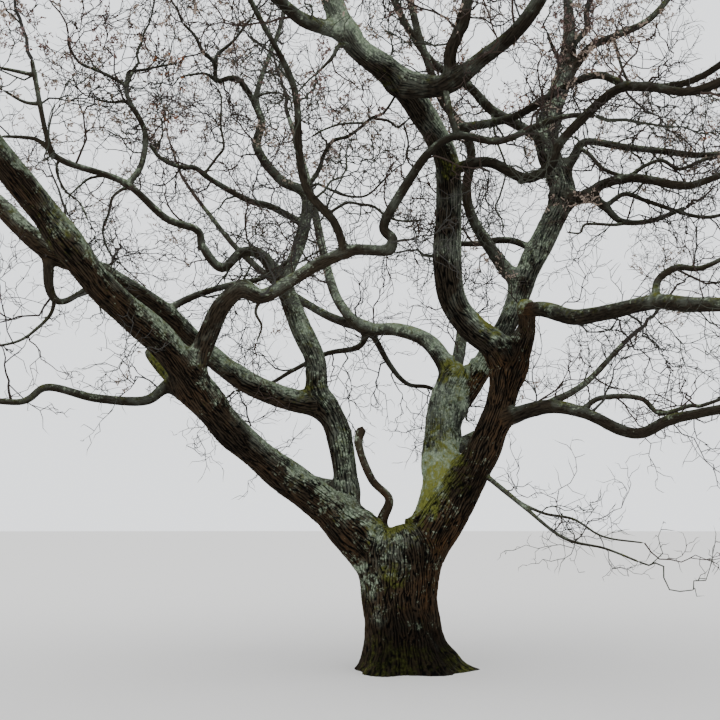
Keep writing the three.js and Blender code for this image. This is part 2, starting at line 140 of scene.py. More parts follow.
trunk = {
    "waistRadius": 0.395, "waistHeight": 0.740, "top": 1.470, "forkSpread": 0.080,
    "footShift": 0.045, "waistShift": -0.048,
    "shoulder": 1.20, "dome": 0.265,    # where the dome under the fork starts, and how high it is
    "leastSlope": 0.2,                  # keeps distances above the dome from growing without end
    "flare": 0.035, "flareHeight": 0.150,
    "flutes": 5, "fluteDepth": 0.014, "fluteTwist": 0.3,    # shallow hollows that wind up the trunk
    "spurNarrowness": 9,
    "spurs": [  # the way each faces, in degrees from +X towards +Y, and how far it runs out
        (-6, 0.330), (58, 0.170), (118, 0.150), (178, 0.110), (236, 0.210), (300, 0.190),
    ],
}

# name, limb it leaves, reach of the twigs on its tip, thickness at even steps, points of its middle
limbTable = [
    ("left_bough", "trunk", 2500, [470, 325, 290, 265, 150],
     [(-120, 0, 960), (-760, -150, 1650), (-1390, -500, 2120), (-1930, -950, 2640), (-2340, -1500, 3220),
      (-2830, -2100, 3660), (-3300, -2600, 4300), (-3900, -3000, 5000), (-4600, -3350, 5500)]),
    ("right_stem", "trunk", 0, [480, 440, 345, 318, 322, 270, 185, 135],
     [(110, -20, 960), (500, -50, 1640), (820, -50, 2170), (1050, -80, 2700), (1175, -100, 3140),
      (1320, -100, 3470), (1400, -100, 3700), (1380, -120, 3950)]),
    ("back_stem", "trunk", 0, [400, 400, 380, 280],
     [(150, 60, 960), (430, 120, 1830), (440, 250, 2230), (490, 400, 2690), (590, 500, 3070),
      (740, 550, 3330)]),
    ("left_riser", "left_bough", 0, [290, 265, 245, 200],
     [(-600, -60, 1480), (-600, 120, 1900), (-720, 200, 2580), (-930, 220, 2960), (-970, 250, 3360),
      (-1150, 250, 3770), (-1380, 250, 4350)]),
    ("left_arch", "left_riser", 2300, [225, 240, 205, 200, 115],
     [(-860, 210, 2830), (-1190, 150, 2880), (-1670, -100, 3040), (-2120, -450, 3350), (-2520, -900, 3690),
      (-2990, -1350, 3950), (-3470, -1750, 4120), (-4000, -1850, 4600), (-4750, -1550, 5150)]),
    ("crossing_bough", "left_bough", 0, [215, 165, 130, 105],
     [(-2130, -1230, 2940), (-1960, -1300, 3350), (-1810, -1450, 3610), (-1610, -1500, 3770),
      (-1420, -1450, 3710), (-1200, -1400, 3840), (-870, -1450, 4030), (-530, -1600, 4130),
      (-220, -1800, 4080)]),
    ("crossing_bough_far", "crossing_bough", 1100, [100, 90, 68, 42],
     [(-225, -1800, 4075), (-150, -1850, 4170), (-230, -1850, 4310), (-40, -1950, 4640), (200, -2000, 4980),
      (470, -2000, 5140), (880, -1900, 5130), (1300, -1750, 5360), (1600, -1700, 5470),
      (1850, -1750, 5450)]),
    ("crossing_riser", "crossing_bough", 2100, [85, 76, 60, 45],
     [(-600, -1570, 4110), (-710, -1700, 4390), (-950, -1850, 4640), (-1030, -2000, 4950),
      (-1050, -2200, 5410), (-1150, -2350, 5690), (-1370, -2600, 6030), (-1700, -2950, 6600)]),
    ("winding_riser", "left_riser", 2100, [165, 130, 110, 65, 50],
     [(-1370, 250, 4260), (-1180, 350, 4720), (-1090, 450, 5210), (-1150, 500, 5460), (-1420, 550, 5620),
      (-1720, 700, 6080), (-1680, 800, 6460), (-1770, 900, 6770), (-1710, 1000, 7170),
      (-1480, 1300, 8140), (-1520, 1450, 8800)]),
    ("winding_limb", "left_riser", 1800, [150, 105, 85, 70, 42],
     [(-1375, 245, 4270), (-1580, 100, 4550), (-1800, 0, 4560), (-2010, -100, 4350), (-2220, -150, 4580),
      (-2280, -200, 4760), (-2600, -400, 4840), (-3010, -650, 5160), (-3570, -1050, 5260),
      (-3700, -1150, 5460), (-3860, -1300, 6270)]),
    ("winding_fork", "winding_limb", 1500, [66, 60, 36],
     [(-2985, -640, 5115), (-2840, -600, 5380), (-2840, -500, 5800), (-3030, -450, 6170),
      (-3090, -400, 6360), (-3030, -350, 6600)]),
    ("low_left_limb", "left_bough", 2000, [150, 88, 72, 55],
     [(-2020, -1070, 2760), (-2360, -1100, 2870), (-2590, -1150, 2720), (-3030, -1350, 2720),
      (-3420, -1600, 2790), (-3650, -1750, 2630), (-4300, -2000, 2700)]),
    ("centre_stem", "right_stem", 0, [340, 315, 305, 300, 305, 300, 280, 255],
     [(1180, -100, 3200), (1010, -150, 3470), (800, -230, 3620), (610, -310, 3830), (515, -400, 4070),
      (485, -560, 4430), (490, -800, 4910), (425, -1100, 5300)]),
    ("centre_stem_top", "centre_stem", 2600, [250, 250, 170, 95],
     [(430, -1070, 5270), (165, -1500, 5590), (-155, -1900, 5815), (-550, -2300, 5985),
      (-800, -2750, 6480), (-850, -3300, 7300), (-700, -3800, 8100)]),
    ("centre_right_fork", "centre_stem_top", 2400, [240, 180, 130, 75],
     [(-90, -1820, 5775), (220, -1950, 5660), (410, -2100, 5640), (660, -2300, 5760), (1040, -2700, 5970),
      (1500, -3100, 6700), (2000, -3400, 7400)]),
    ("centre_left_fork", "centre_stem_top", 2300, [155, 125, 95, 60],
     [(-575, -2340, 6020), (-780, -2500, 5980), (-1000, -2700, 5970), (-1300, -3000, 6100),
      (-2000, -3500, 6500), (-2700, -3900, 7100)]),
    ("front_right_limb", "centre_stem", 2200, [120, 98, 85, 60],
     [(468, -985, 5150), (670, -1250, 5140), (860, -1450, 5080), (1150, -1700, 4830), (1350, -1900, 4880),
      (1450, -2050, 5080), (1820, -2500, 5350), (2040, -2750, 5290), (2370, -3200, 5060),
      (2950, -3600, 5300), (3400, -3900, 5900)]),
    ("back_arch", "back_stem", 2300, [240, 160, 125, 100, 65],
     [(650, 525, 3180), (380, 750, 3650), (30, 1050, 3870), (-390, 1400, 3970), (-680, 1650, 4280),
      (-870, 1900, 4780), (-1120, 2300, 5950), (-1230, 2500, 6460), (-1500, 2850, 7400)]),
    ("tall_stem", "back_stem", 0, [300, 262, 250, 255, 285, 290, 300],
     [(530, 430, 2700), (810, 560, 3090), (1100, 680, 3540), (1365, 800, 4000), (1610, 950, 4600),
      (1900, 1050, 5160), (2115, 1150, 5680)]),
    ("tall_stem_top", "tall_stem", 2600, [300, 275, 255, 130, 80],
     [(2105, 1148, 5655), (1980, 1350, 6310), (2090, 1550, 6920), (2310, 1750, 7540), (2450, 1950, 8220),
      (2450, 2100, 9000), (2250, 2200, 9800)]),
    ("slanting_limb", "tall_stem", 2500, [190, 122, 100, 90, 65],
     [(1495, 915, 4430), (1250, 800, 4660), (920, 600, 5110), (820, 500, 5470), (870, 350, 5890),
      (740, 250, 6170), (500, 150, 6490), (340, 50, 6890), (180, -50, 7410), (50, -200, 8200),
      (100, -250, 9000)]),
    ("inner_limb", "tall_stem_top", 2100, [150, 112, 95, 60],
     [(1990, 1370, 6420), (1520, 1100, 6570), (1190, 950, 6700), (900, 800, 6940), (440, 650, 7190),
      (60, 500, 7710), (-200, 700, 8500)]),
    ("upper_right_limb", "slanting_limb", 2200, [110, 88, 80, 58],
     [(745, 250, 6160), (1050, 0, 6110), (1350, -300, 6090), (1730, -700, 6200), (2040, -1100, 6180),
      (2320, -1500, 5870), (2750, -2200, 5650), (3500, -2600, 6200)]),
    ("right_limb", "tall_stem", 2300, [200, 120, 95, 65],
     [(2050, 1120, 5610), (2330, 900, 5520), (2540, 800, 5650), (2880, 600, 5660), (3310, 350, 5480),
      (3560, 200, 5470), (4500, 0, 5800)]),
    ("right_back_limb", "tall_stem_top", 2200, [150, 95, 75, 55],
     [(2055, 1180, 5810), (2270, 1200, 6140), (2430, 1150, 6340), (2890, 1000, 6210), (3290, 800, 6080),
      (3720, 700, 5990), (4400, 1300, 6300), (5000, 2000, 6800)]),
    ("top_right_limb", "tall_stem_top", 2200, [135, 112, 95, 70],
     [(2240, 1680, 7330), (2490, 1650, 7680), (2670, 1600, 7880), (3040, 1550, 8030), (3470, 1500, 8250),
      (4000, 1500, 8900)]),
    ("side_limb", "right_stem", 2300, [152, 165, 135, 90],
     [(1385, -118, 3870), (1550, -400, 3810), (1790, -750, 3650), (2060, -1150, 3620),
      (2370, -1650, 3610), (2640, -2150, 3470), (3250, -2500, 3450), (3900, -2750, 3800)]),
    ("low_right_limb", "right_stem", 2200, [180, 125, 105, 70],
     [(1015, -75, 2620), (1260, -300, 2690), (1550, -500, 2740), (1860, -750, 2640), (2140, -1050, 2440),
      (2300, -1250, 2390), (2500, -1450, 2490), (2750, -1700, 2540), (3400, -2150, 2650),
      (3950, -2450, 3000)]),
    ("dead_stub", "trunk", 0, [110, 90, 85, 95, 115],
     [(-200, 40, 1360), (-210, 50, 1560), (-140, 20, 1790), (-330, 0, 2000), (-470, 0, 2370),
      (-430, 0, 2580)]),
    ("rear_right_bough", "back_stem", 2300, [210, 160, 120, 80],
     [(480, 380, 2650), (700, 1100, 3300), (900, 2000, 4200), (900, 2900, 5300), (950, 3700, 6500)]),
    ("rear_left_bough", "back_arch", 2300, [140, 115, 90, 65],
     [(-370, 1390, 3960), (-900, 2200, 4300), (-1600, 3000, 4900), (-2300, 3500, 5600),
      (-2900, 3900, 6400)]),
    ("low_rear_right_bough", "back_stem", 2200, [190, 145, 105, 75],
     [(430, 270, 2260), (1100, 1400, 2650), (1900, 2500, 3050), (2750, 3300, 3500), (3500, 3800, 4200)]),
    ("low_rear_left_bough", "left_riser", 2300, [185, 140, 105, 75],
     [(-605, 120, 1880), (-1000, 600, 1990), (-1550, 1250, 2250), (-2420, 2300, 3150),
      (-3300, 2700, 4100), (-4200, 2800, 5000)]),
]

# limbs too thin for the solids: name, limb it leaves, thickness, points of its middle
thinTable = [
    ("hookLimb", "left_arch", [83, 44],
     [(-2530, -850, 3680), (-2200, -700, 3890), (-1870, -550, 4040), (-1520, -400, 4160),
      (-1250, -250, 4390)]),
    ("hangingHook", "left_arch", [104, 60, 34],
     [(-3440, -1720, 4110), (-3420, -1700, 3730), (-3310, -1650, 3610), (-3110, -1500, 3790),
      (-2960, -1400, 4020)]),
    ("windingSide", "winding_riser", [83, 60, 35],
     [(-1160, 420, 5020), (-1520, 350, 5220), (-1780, 300, 5280), (-2190, 200, 5490),
      (-2380, 150, 5620), (-2500, 50, 5590), (-2650, -100, 5590), (-2770, -150, 5670),
      (-2850, -200, 5780)]),
    ("archDrop", "back_arch", [101, 70, 50, 30],
     [(-360, 1400, 3880), (-480, 1450, 3730), (-890, 1500, 3650), (-1320, 1500, 3430),
      (-1640, 1500, 3250), (-2050, 1550, 3180)]),
    ("archFork", "back_arch", [88, 58, 35],
     [(-320, 1400, 3840), (-80, 1500, 3510), (150, 1600, 3280), (450, 1700, 3240), (800, 1800, 3020)]),
    ("sideRiser", "side_limb", [77, 68, 40],
     [(2400, -1650, 3610), (2420, -1600, 3830), (2610, -1600, 3960), (2860, -1600, 3960),
      (3250, -1650, 4150)]),
    ("lowRightFork", "low_right_limb", [62, 50, 35],
     [(1850, -700, 2670), (2050, -650, 2810), (2460, -650, 2810), (2630, -750, 2640),
      (2900, -900, 2700), (2990, -1000, 2690), (3350, -1150, 2820)]),
    ("rightLow", "right_limb", [124, 80, 50],
     [(2400, 900, 5520), (2590, 950, 5410), (2810, 1050, 5260), (3200, 1150, 5290), (3700, 1250, 5500)]),
    ("rightLowFork", "right_limb", [75, 60, 35],
     [(2580, 950, 5430), (2830, 900, 5560), (3110, 800, 5420), (3660, 550, 5150), (4150, 450, 5250)]),
    ("centreRise", "centre_right_fork", [120, 105, 60],
     [(410, -2100, 5620), (390, -2200, 5860), (460, -2300, 6030), (520, -2400, 6140),
      (560, -2550, 6700), (450, -2700, 7300)]),
    ("crossRise", "crossing_bough_far", [62, 52, 34],
     [(470, -2000, 5140), (400, -2050, 5330), (350, -2100, 5640), (370, -2150, 5860),
      (440, -2200, 6110), (520, -2300, 6380), (600, -2400, 6800)]),
    ("droopingSpray", "right_stem", [65, 38, 24, 19],
     [(910, -100, 2070), (1220, -400, 1730), (1580, -800, 1380), (1900, -1200, 1280),
      (2150, -1500, 1160)]),
    ("lowerDroop", "droopingSpray", [34, 26, 16],
     [(1210, -390, 1740), (1450, -560, 1620), (1700, -780, 1560), (1950, -950, 1390),
      (2300, -1150, 1330)]),
    ("behindTall", "tall_stem", [95, 85, 75],
     [(1640, 1000, 4900), (1500, 1150, 5020), (1280, 1150, 5040), (1030, 1200, 5010), (770, 1200, 5010)]),
    ("underCross", "crossing_bough", [36, 26, 14],
     [(-1420, -1450, 3700), (-1480, -1420, 3560), (-1420, -1400, 3420), (-1470, -1390, 3260)]),
    ("windingTipLeft", "winding_fork", [46, 36, 24],
     [(-3090, -330, 6350), (-3180, -350, 6460), (-3390, -500, 6520), (-3560, -600, 6560),
      (-3660, -700, 6700), (-3650, -800, 6810)]),
    ("windingTipRight", "winding_fork", [44, 34, 24],
     [(-3100, -380, 6400), (-3100, -300, 6590), (-3040, -300, 6610), (-2930, -250, 6650),
      (-2790, -200, 6710), (-2560, -100, 6810)]),
    ("windingCurl", "winding_fork", [36, 30, 20],
     [(-2900, -440, 6060), (-3070, -500, 6150), (-3200, -600, 6100), (-3350, -700, 6090)]),
    ("riserFork", "winding_riser", [78, 60, 45, 32],
     [(-1740, 850, 6740), (-1940, 700, 6950), (-2060, 600, 6950), (-2210, 500, 6870), (-2230, 400, 7050),
      (-2350, 300, 7140), (-2440, 200, 7300), (-2580, 100, 7420)]),
    ("riserForkRight", "riserFork", [46, 36, 24],
     [(-2230, 420, 7030), (-2190, 400, 7160), (-2010, 400, 7330), (-1880, 400, 7510), (-1780, 400, 7650)]),
    ("riserForkLow", "riserFork", [40, 30, 20],
     [(-2220, 500, 6860), (-2330, 400, 6910), (-2500, 300, 6850), (-2610, 200, 6770)]),
    ("leftTopEdge", "winding_limb", [46, 30],
     [(-3850, -1280, 6100), (-4010, -1250, 6150), (-4200, -1300, 6170)]),
    ("leftMidEdge", "winding_limb", [42, 26],
     [(-3790, -1230, 5800), (-3950, -1200, 5840), (-4160, -1250, 5950)]),
    ("leftLowEdge", "winding_limb", [52, 40, 30],
     [(-3620, -1100, 5350), (-3800, -1150, 5440), (-3950, -1180, 5460), (-4150, -1250, 5440)]),
    ("midRiser", "windingSide", [34, 28, 20],
     [(-2250, 200, 5600), (-2140, 200, 5770), (-2060, 200, 5900), (-2110, 250, 6190), (-2120, 300, 6550),
      (-2190, 400, 6730)]),
    ("underLeftA", "winding_limb", [30, 24, 14],
     [(-3600, -1050, 5270), (-3650, -950, 5180), (-3570, -900, 4990), (-3400, -900, 4840),
      (-3300, -900, 4640)]),
    ("underLeftB", "winding_limb", [36, 28, 16],
     [(-3040, -640, 5150), (-3200, -620, 5240), (-3380, -640, 5210), (-3500, -660, 5100),
      (-3610, -700, 4960)]),
    ("underLeftC", "winding_limb", [36, 30, 22, 16],
     [(-2960, -620, 5140), (-3130, -600, 5020), (-3180, -580, 4830), (-3240, -560, 4650),
      (-3180, -540, 4440), (-3080, -520, 4320)]),
    ("hangingRight", "top_right_limb", [44, 34, 20],
     [(2960, 1560, 7990), (3000, 1400, 7490), (3070, 1300, 7230), (3190, 1200, 7110)]),
    ("crossingTwig", "right_back_limb", [60, 48, 40],
     [(2300, 1180, 6290), (2430, 1000, 6120), (2550, 800, 5850), (2810, 700, 5720), (3030, 700, 5850),
      (3250, 700, 5920), (3460, 700, 5810), (3720, 600, 5890), (4100, 550, 5960)]),
    ("rightReturn", "rightLow", [50, 34, 20],
     [(2900, 1080, 5250), (2700, 950, 5180), (2330, 900, 5170), (2260, 900, 5060), (2080, 900, 5070)]),
    ("innerHang", "inner_limb", [30, 22, 14],
     [(1200, 960, 6680), (1250, 920, 6300), (1360, 900, 5900), (1280, 900, 5540), (1220, 900, 5390),
      (1300, 900, 5210), (1300, 900, 5020)]),
    ("topSmallFork", "tall_stem_top", [64, 50, 30],
     [(2350, 1780, 7650), (2210, 1700, 7800), (2120, 1600, 7920), (2060, 1560, 8080)]),
    ("topStemLeft", "tall_stem_top", [100, 80, 50],
     [(2440, 1900, 8000), (2680, 1900, 8290), (2700, 1900, 8600), (2950, 1950, 9200), (3000, 2000, 9800)]),
    ("hookTail", "hangingHook", [40, 32, 22],
     [(-3360, -1680, 3640), (-3420, -1620, 3500), (-3540, -1600, 3370), (-3740, -1600, 3230),
      (-4100, -1650, 3150)]),
    ("fanLimb", "winding_riser", [60, 46, 34, 24],
     [(-1070, 500, 5470), (-950, 450, 5710), (-890, 400, 5880), (-780, 300, 6010), (-600, 200, 6030),
      (-450, 100, 6100), (-330, 0, 6170), (-190, -100, 6190), (-90, -200, 6290), (-40, -300, 6360)]),
    ("fanForkRight", "fanLimb", [34, 28, 18],
     [(-330, 0, 6170), (-130, 0, 6140), (-30, 0, 6060), (40, 0, 6100), (150, 0, 6200)]),
    ("fanForkLeft", "fanLimb", [32, 26, 18],
     [(-400, 50, 6130), (-530, 0, 6110), (-700, -100, 6050), (-880, -200, 5940), (-1020, -300, 5810)]),
    ("fanLow", "winding_riser", [36, 30, 20],
     [(-1070, 500, 5470), (-980, 400, 5510), (-830, 300, 5420), (-660, 200, 5310), (-470, 100, 5250),
      (-340, 0, 5260), (-190, -100, 5380), (-100, -200, 5440)]),
    ("fanUnder", "crossing_riser", [32, 28, 18],
     [(-750, -1750, 4470), (-590, -1600, 4610), (-450, -1500, 4630), (-320, -1400, 4640),
      (-170, -1300, 4560), (10, -1200, 4550), (220, -1100, 4600)]),
    ("fanHang", "fanForkRight", [26, 22, 14],
     [(50, 0, 6100), (100, 0, 5890), (90, 0, 5670), (170, 0, 5560), (230, 0, 5440)]),
    ("riserTwig", "winding_riser", [34, 26, 18],
     [(-1770, 900, 6820), (-1670, 800, 6830), (-1460, 700, 6800), (-1310, 600, 6650), (-1280, 500, 6420)]),
    ("deadTwig", "centre_stem_top", [60, 44, 20],
     [(-440, -2200, 5890), (-550, -2300, 5890), (-650, -2400, 5850), (-710, -2400, 5740),
      (-850, -2400, 5580)]),
    ("mossyStub", "left_bough", [190, 165, 150, 120],
     [(-2080, -1050, 2780), (-2290, -1000, 2930), (-2440, -950, 3060), (-2560, -900, 3190),
      (-2640, -880, 3300)]),
]

# dead stubs that bear no twigs
bareLimbs = ["dead_stub", "mossyStub"]

# where one limb runs on as another, both get one skin
runsOn = {
    "centre_stem_top": "centre_stem",
    "tall_stem_top": "tall_stem",
    "crossing_bough_far": "crossing_bough",
}


# how routes are measured and joined: counts of samples, and lengths in metres
routes = {
    "samples": 401,
    "joinedSamples": 33,    # thicknesses of two limbs that are made one
    "rootSamples": 129,     # thicknesses of a limb whose start is hidden in the trunk
    "middleSpacing": 0.07,  # between the middles that distances are measured from
    "leastMiddles": 6,
    "snap": 0.2,            # a thin limb that starts this near to its bearer is moved onto it
}


# points on a smooth run through the route, at shares of it from 0 to 1
def alongRoute(points, shares):
    ends = np.vstack([2 * points[0] - points[1], points, 2 * points[-1] - points[-2]])
    place = np.clip(shares, 0, 1) * (len(points) - 1)
    first = np.minimum(place.astype(int), len(points) - 2)
    t = (place - first)[:, None]
    p0, p1, p2, p3 = (ends[first + i] for i in range(4))
    pull, push = (p2 - p0) / 2, (p3 - p1) / 2
    return (2 * p1 - 2 * p2 + pull + push) * t**3 + (3 * (p2 - p1) - 2 * pull - push) * t**2 + pull * t + p1


def unit(rows):
    return rows / np.maximum(np.linalg.norm(rows, axis=-1, keepdims=True), 1e-9)


def radiusAt(thick, shares):
    steps = np.linspace(0, 1, len(thick))
    return np.interp(shares, steps, thick) / 2


def makeLimb(name, parent, reach, thick, route):
    points = np.array(route) / 1000
    return {"name": name, "from": parent, "reach": reach / 1000, "thick": np.array(thick) / 1000,
            "points": points}


limbs = [makeLimb(*row) for row in limbTable]
limbByName = {limb["name"]: limb for limb in limbs}
thinLimbs = [makeLimb(name, parent, 0, thick, route) for name, parent, thick, route in thinTable]
byName = {limb["name"]: limb for limb in limbs + thinLimbs}
for limb in thinLimbs:  # each starts on the middle of the limb that it leaves
    bearer = alongRoute(byName[limb["from"]]["points"], np.linspace(0, 1, routes["samples"]))
    off = np.linalg.norm(bearer - limb["points"][0], axis=1)
    foot = bearer[off.argmin()]
    if off.min() < routes["snap"]:
        limb["points"][0] = foot
    else:
        limb["points"] = np.vstack([foot, limb["points"]])


# Factors that scramble a seed or a cell's place. The plain whole numbers handed to drawsFrom, seedOf
# and lumps further down only keep their draws apart.
drawFactor, drawLimit = 16807, 2147483647
seedFactor, indexFactor = 48271, 7919
cellSeedFactor, cellFactors = 69069, (374761393, 668265263, 974634777)
mixFactors = [(13, 1274126177), (15, 1103515245)]
lowBits, allBits = 0xFFFF, 0xFFFFFFFF


# even draws from 0 to 1, the same on every run, as in the part's source
def drawsFrom(seed):
    state = [seed]

    def draw():
        state[0] = state[0] * drawFactor % drawLimit
        return state[0] / drawLimit

    return draw


def seedOf(parentSeed, index):
    return (parentSeed * seedFactor + index * indexFactor) % (drawLimit - 1) + 1


# two even draws for each cell of a lattice
def cellDraws(*cells, seed):
    mixed = np.full(cells[0].shape, seed * cellSeedFactor + 1, dtype=np.int64)
    for cell, factor in zip(cells, cellFactors):
        mixed = (mixed + cell.astype(np.int64) * factor) & allBits
    for shift, factor in mixFactors:
        mixed = ((mixed ^ (mixed >> shift)) * factor) & allBits
    mixed ^= mixed >> 16
    return (mixed & lowBits) / lowBits, (mixed >> 16) / lowBits


# smooth lumps from -1 to 1, about one lattice cell across
def lumps(spots, size, seed):
    place = spots / size
    cell = np.floor(place)
    t = place - cell
    t = t * t * (3 - 2 * t)
    total = np.zeros(len(spots))
    for corner in np.ndindex(2, 2, 2):
        step = np.array(corner)
        share = np.prod(np.where(step, t, 1 - t), axis=1)
        draw, _ = cellDraws(*(cell + step).T, seed=seed)
        total += share * draw
    return total * 2 - 1


def smoothStep(low, high, value):
    t = np.clip((value - low) / (high - low), 0, 1)
    return t * t * (3 - 2 * t)


farOff = 9.0  # farther than any furrow in plates, or any blend in metres


# bark plates: how far a spot is from the furrow round its plate, and a draw for the plate.
# Across goes round the limb and closes on itself after so many plates. Every other row of
# plates starts half a plate higher.
def plates(across, along, platesAround, seed):
    cellX, cellY = np.floor(across), np.floor(along)
    best, second = np.full(len(across), farOff), np.full(len(across), farOff)
    bestX, bestY, secondX, secondY, tone = (np.zeros(len(across)) for _ in range(5))
    for stepX in (-1, 0, 1):
        for stepY in (-1, 0, 1):
            x, y = cellX + stepX, cellY + stepY
            drawX, drawY = cellDraws(np.mod(x, platesAround), y, seed=seed)
            offX = x + 0.25 + 0.5 * drawX - across
            offY = bark["plateSquash"] * (y + 0.9 * drawY - 0.2 + 0.5 * np.mod(x, 2) - along)
            off = np.hypot(offX, offY)
            nearer = off < best
            follows = ~nearer & (off < second)
            second = np.where(nearer, best, np.where(follows, off, second))
            secondX = np.where(nearer, bestX, np.where(follows, offX, secondX))
            secondY = np.where(nearer, bestY, np.where(follows, offY, secondY))
            best = np.where(nearer, off, best)
            bestX, bestY = np.where(nearer, offX, bestX), np.where(nearer, offY, bestY)
            tone = np.where(nearer, (drawX + drawY) % 1, tone)
    wayX, wayY = secondX - bestX, secondY - bestY
    middle = (second**2 - best**2) / 2  # over the way's length: how far the furrow's middle is
    return middle / np.maximum(np.hypot(wayX, bark["endFurrow"] * wayY), 1e-3), tone


# Distances: how far spots are outside a limb or the trunk, and the way out there.

def limbDistance(limb, spots):
    middles, radii = limb["middles"], limb["radii"]
    best = np.full(len(spots), 1e9)
    out = np.zeros_like(spots)
    low, high = spots.min(0) - bark["blendSearch"], spots.max(0) + bark["blendSearch"]
    for i in range(len(middles) - 1):
        if np.any(middles[i] < low) or np.any(middles[i] > high):
            continue
        run = middles[i + 1] - middles[i]
        share = np.clip((spots - middles[i]) @ run / (run @ run), 0, 1)
        way = spots - middles[i] - share[:, None] * run
        length = np.linalg.norm(way, axis=1)
        off = length - radii[i] - (radii[i + 1] - radii[i]) * share
        nearer = off < best
        best = np.where(nearer, off, best)
        out[nearer] = way[nearer] / np.maximum(length[nearer, None], 1e-6)
    return best, out


def trunkRadius(height, angle):
    rise = np.clip((height - trunk["waistHeight"]) / (trunk["top"] - trunk["waistHeight"]), 0, None)
    radius = trunk["waistRadius"] + trunk["forkSpread"] * rise**1.5 * (1 + 0.5 * np.abs(np.cos(angle)))
    sink = np.exp(-height / trunk["flareHeight"])
    radius = radius + trunk["flare"] * sink
    radius = radius + trunk["fluteDepth"] * np.sin(trunk["flutes"] * angle + height / trunk["fluteTwist"])
    for facing, run in trunk["spurs"]:
        turn = np.maximum(0, np.cos(angle - math.radians(facing)))
        radius = radius + run * sink * turn ** trunk["spurNarrowness"]
    return radius


def trunkMiddle(height):
    share = np.clip(height / trunk["waistHeight"], 0, 1)
    return trunk["footShift"] + (trunk["waistShift"] - trunk["footShift"]) * share


def trunkDistance(spots):
    height = np.clip(spots[:, 2], 0, trunk["shoulder"])
    east = spots[:, 0] - trunkMiddle(height)
    angle = np.arctan2(spots[:, 1], east)
    away = np.hypot(east, spots[:, 1])
    radius = trunkRadius(height, angle)
    stretch = radius / trunk["dome"]
    above = np.maximum(spots[:, 2] - trunk["shoulder"], 0) * stretch
    reach = np.maximum(np.hypot(away, above), 1e-6)
    slope = np.hypot(away, above * stretch) / reach
    level = np.stack([np.cos(angle) * away, np.sin(angle) * away, above * stretch], axis=1)
    return (reach - radius) / np.maximum(slope, trunk["leastSlope"]), unit(level)


# Bark: a grid bent round each limb, blended with its neighbours, then cut by furrows.

bark = {
    "plateWidth": 0.034,    # ridge spacing round the trunk and boughs
    "plateLength": 0.34,
    "plateSquash": 0.6,     # how much a way along the limb counts, against one round it
    "endFurrow": 0.22,      # the smaller, the narrower the furrow at a plate's ends
    "furrow": 0.030,        # furrow depth as a share of the limb's width
    "furrowLeast": 0.001,
    "furrowMost": 0.011,
    "furrowEdge": 0.34,     # where a furrow's side ends, from its middle towards the plate's
    "grain": 0.02,          # size of the fine unevenness on the plates
    "waver": [(0.7, 0.22, 11), (0.3, 0.06, 12)],    # across the furrows: how far, size of the waves, seed
    "waverLong": (0.3, 0.11, 13),
    "plainBelow": 0.13,     # thinner limbs than this radius are smoother
    "plainest": 0.12,
    "cell": 0.0105,         # grid spacing round the limb
    "cellLong": 0.027,
    "lumpShare": 0.085,
    "scarSpacing": 0.8,     # old branch scars
    "blendShare": 0.62,     # width of the blend at a joint, as a share of the thinner limb's width
    "blendMost": 0.20,
    "blendSearch": 0.8,     # limbs farther off than this are left out of a distance
    "besideReach": 0.3,     # limbs that leave another within this of each other are blended too
    "forkBlends": {"left_bough": 0.34, "right_stem": 0.36, "back_stem": 0.30, "centre_right_fork": 0.08,
                   "low_left_limb": 0.22},
    "hiddenStart": 0.5,     # length over which a limb gains its full width inside the trunk
    "trunkBlend": 0.13,
}


# a limb's length, and what its distance to other spots is worked out from
def measure(limb):
    points = limb["points"]
    shares = np.linspace(0, 1, routes["samples"])
    dense = alongRoute(points, shares)
    lengths = np.append(0, np.cumsum(np.linalg.norm(np.diff(dense, axis=0), axis=1)))
    limb["length"] = lengths[-1]
    limb["shareAt"] = lambda run: np.interp(run, lengths, shares)
    count = max(routes["leastMiddles"], int(limb["length"] / routes["middleSpacing"]))
    even = limb["shareAt"](np.linspace(0, limb["length"], count + 1))
    limb["middles"] = alongRoute(points, even)
    limb["radii"] = radiusAt(limb["thick"], even)
    limb["distance"] = lambda spots: limbDistance(limb, spots)
    limb["low"] = (limb["middles"] - limb["radii"][:, None]).min(0)
    limb["high"] = (limb["middles"] + limb["radii"][:, None]).max(0)
    limb["root"] = float(limb["radii"][0])


# the trunk as a body to blend with: its order puts it after the three limbs of the fork
trunkBody = {
    "name": "trunk", "from": None, "distance": trunkDistance, "root": 0.5, "order": 2.5,
    "width": bark["trunkBlend"],
    "low": np.array([-0.8, -0.8, 0.0]), "high": np.array([0.8, 0.8, 1.5]),
}


# a limb and the one it runs on from become one skin
def joinRuns():
    skins = []
    for limb in limbs + thinLimbs:
        if limb["name"] in runsOn.values():
            continue
        first = limbByName.get(runsOn.get(limb["name"]))
        skin = dict(limb)
        if first:
            points = np.vstack([first["points"], limb["points"][1:]])
            middle = (len(first["points"]) - 1) / (len(points) - 1)
            steps = np.append(np.linspace(0, middle, len(first["thick"])),
                              np.linspace(middle, 1, len(limb["thick"]))[1:])
            thick = np.append(first["thick"], limb["thick"][1:])
            even = np.linspace(0, 1, routes["joinedSamples"])
            skin.update(points=points, thick=np.interp(even, steps, thick))
            skin["from"] = first["from"]
            skin["also"], skin["change"] = first["name"], middle
        if skin["name"] in bark["forkBlends"] and skin["from"] == "trunk":
            shares = np.linspace(0, 1, routes["rootSamples"])
            rough = np.linalg.norm(np.diff(skin["points"], axis=0), axis=1).sum()
            slim = 0.5 + 0.5 * smoothStep(0, bark["hiddenStart"], shares * rough)
            skin["thick"] = radiusAt(skin["thick"], shares) * 2 * slim
        measure(skin)
        skins.append(skin)
    return skins


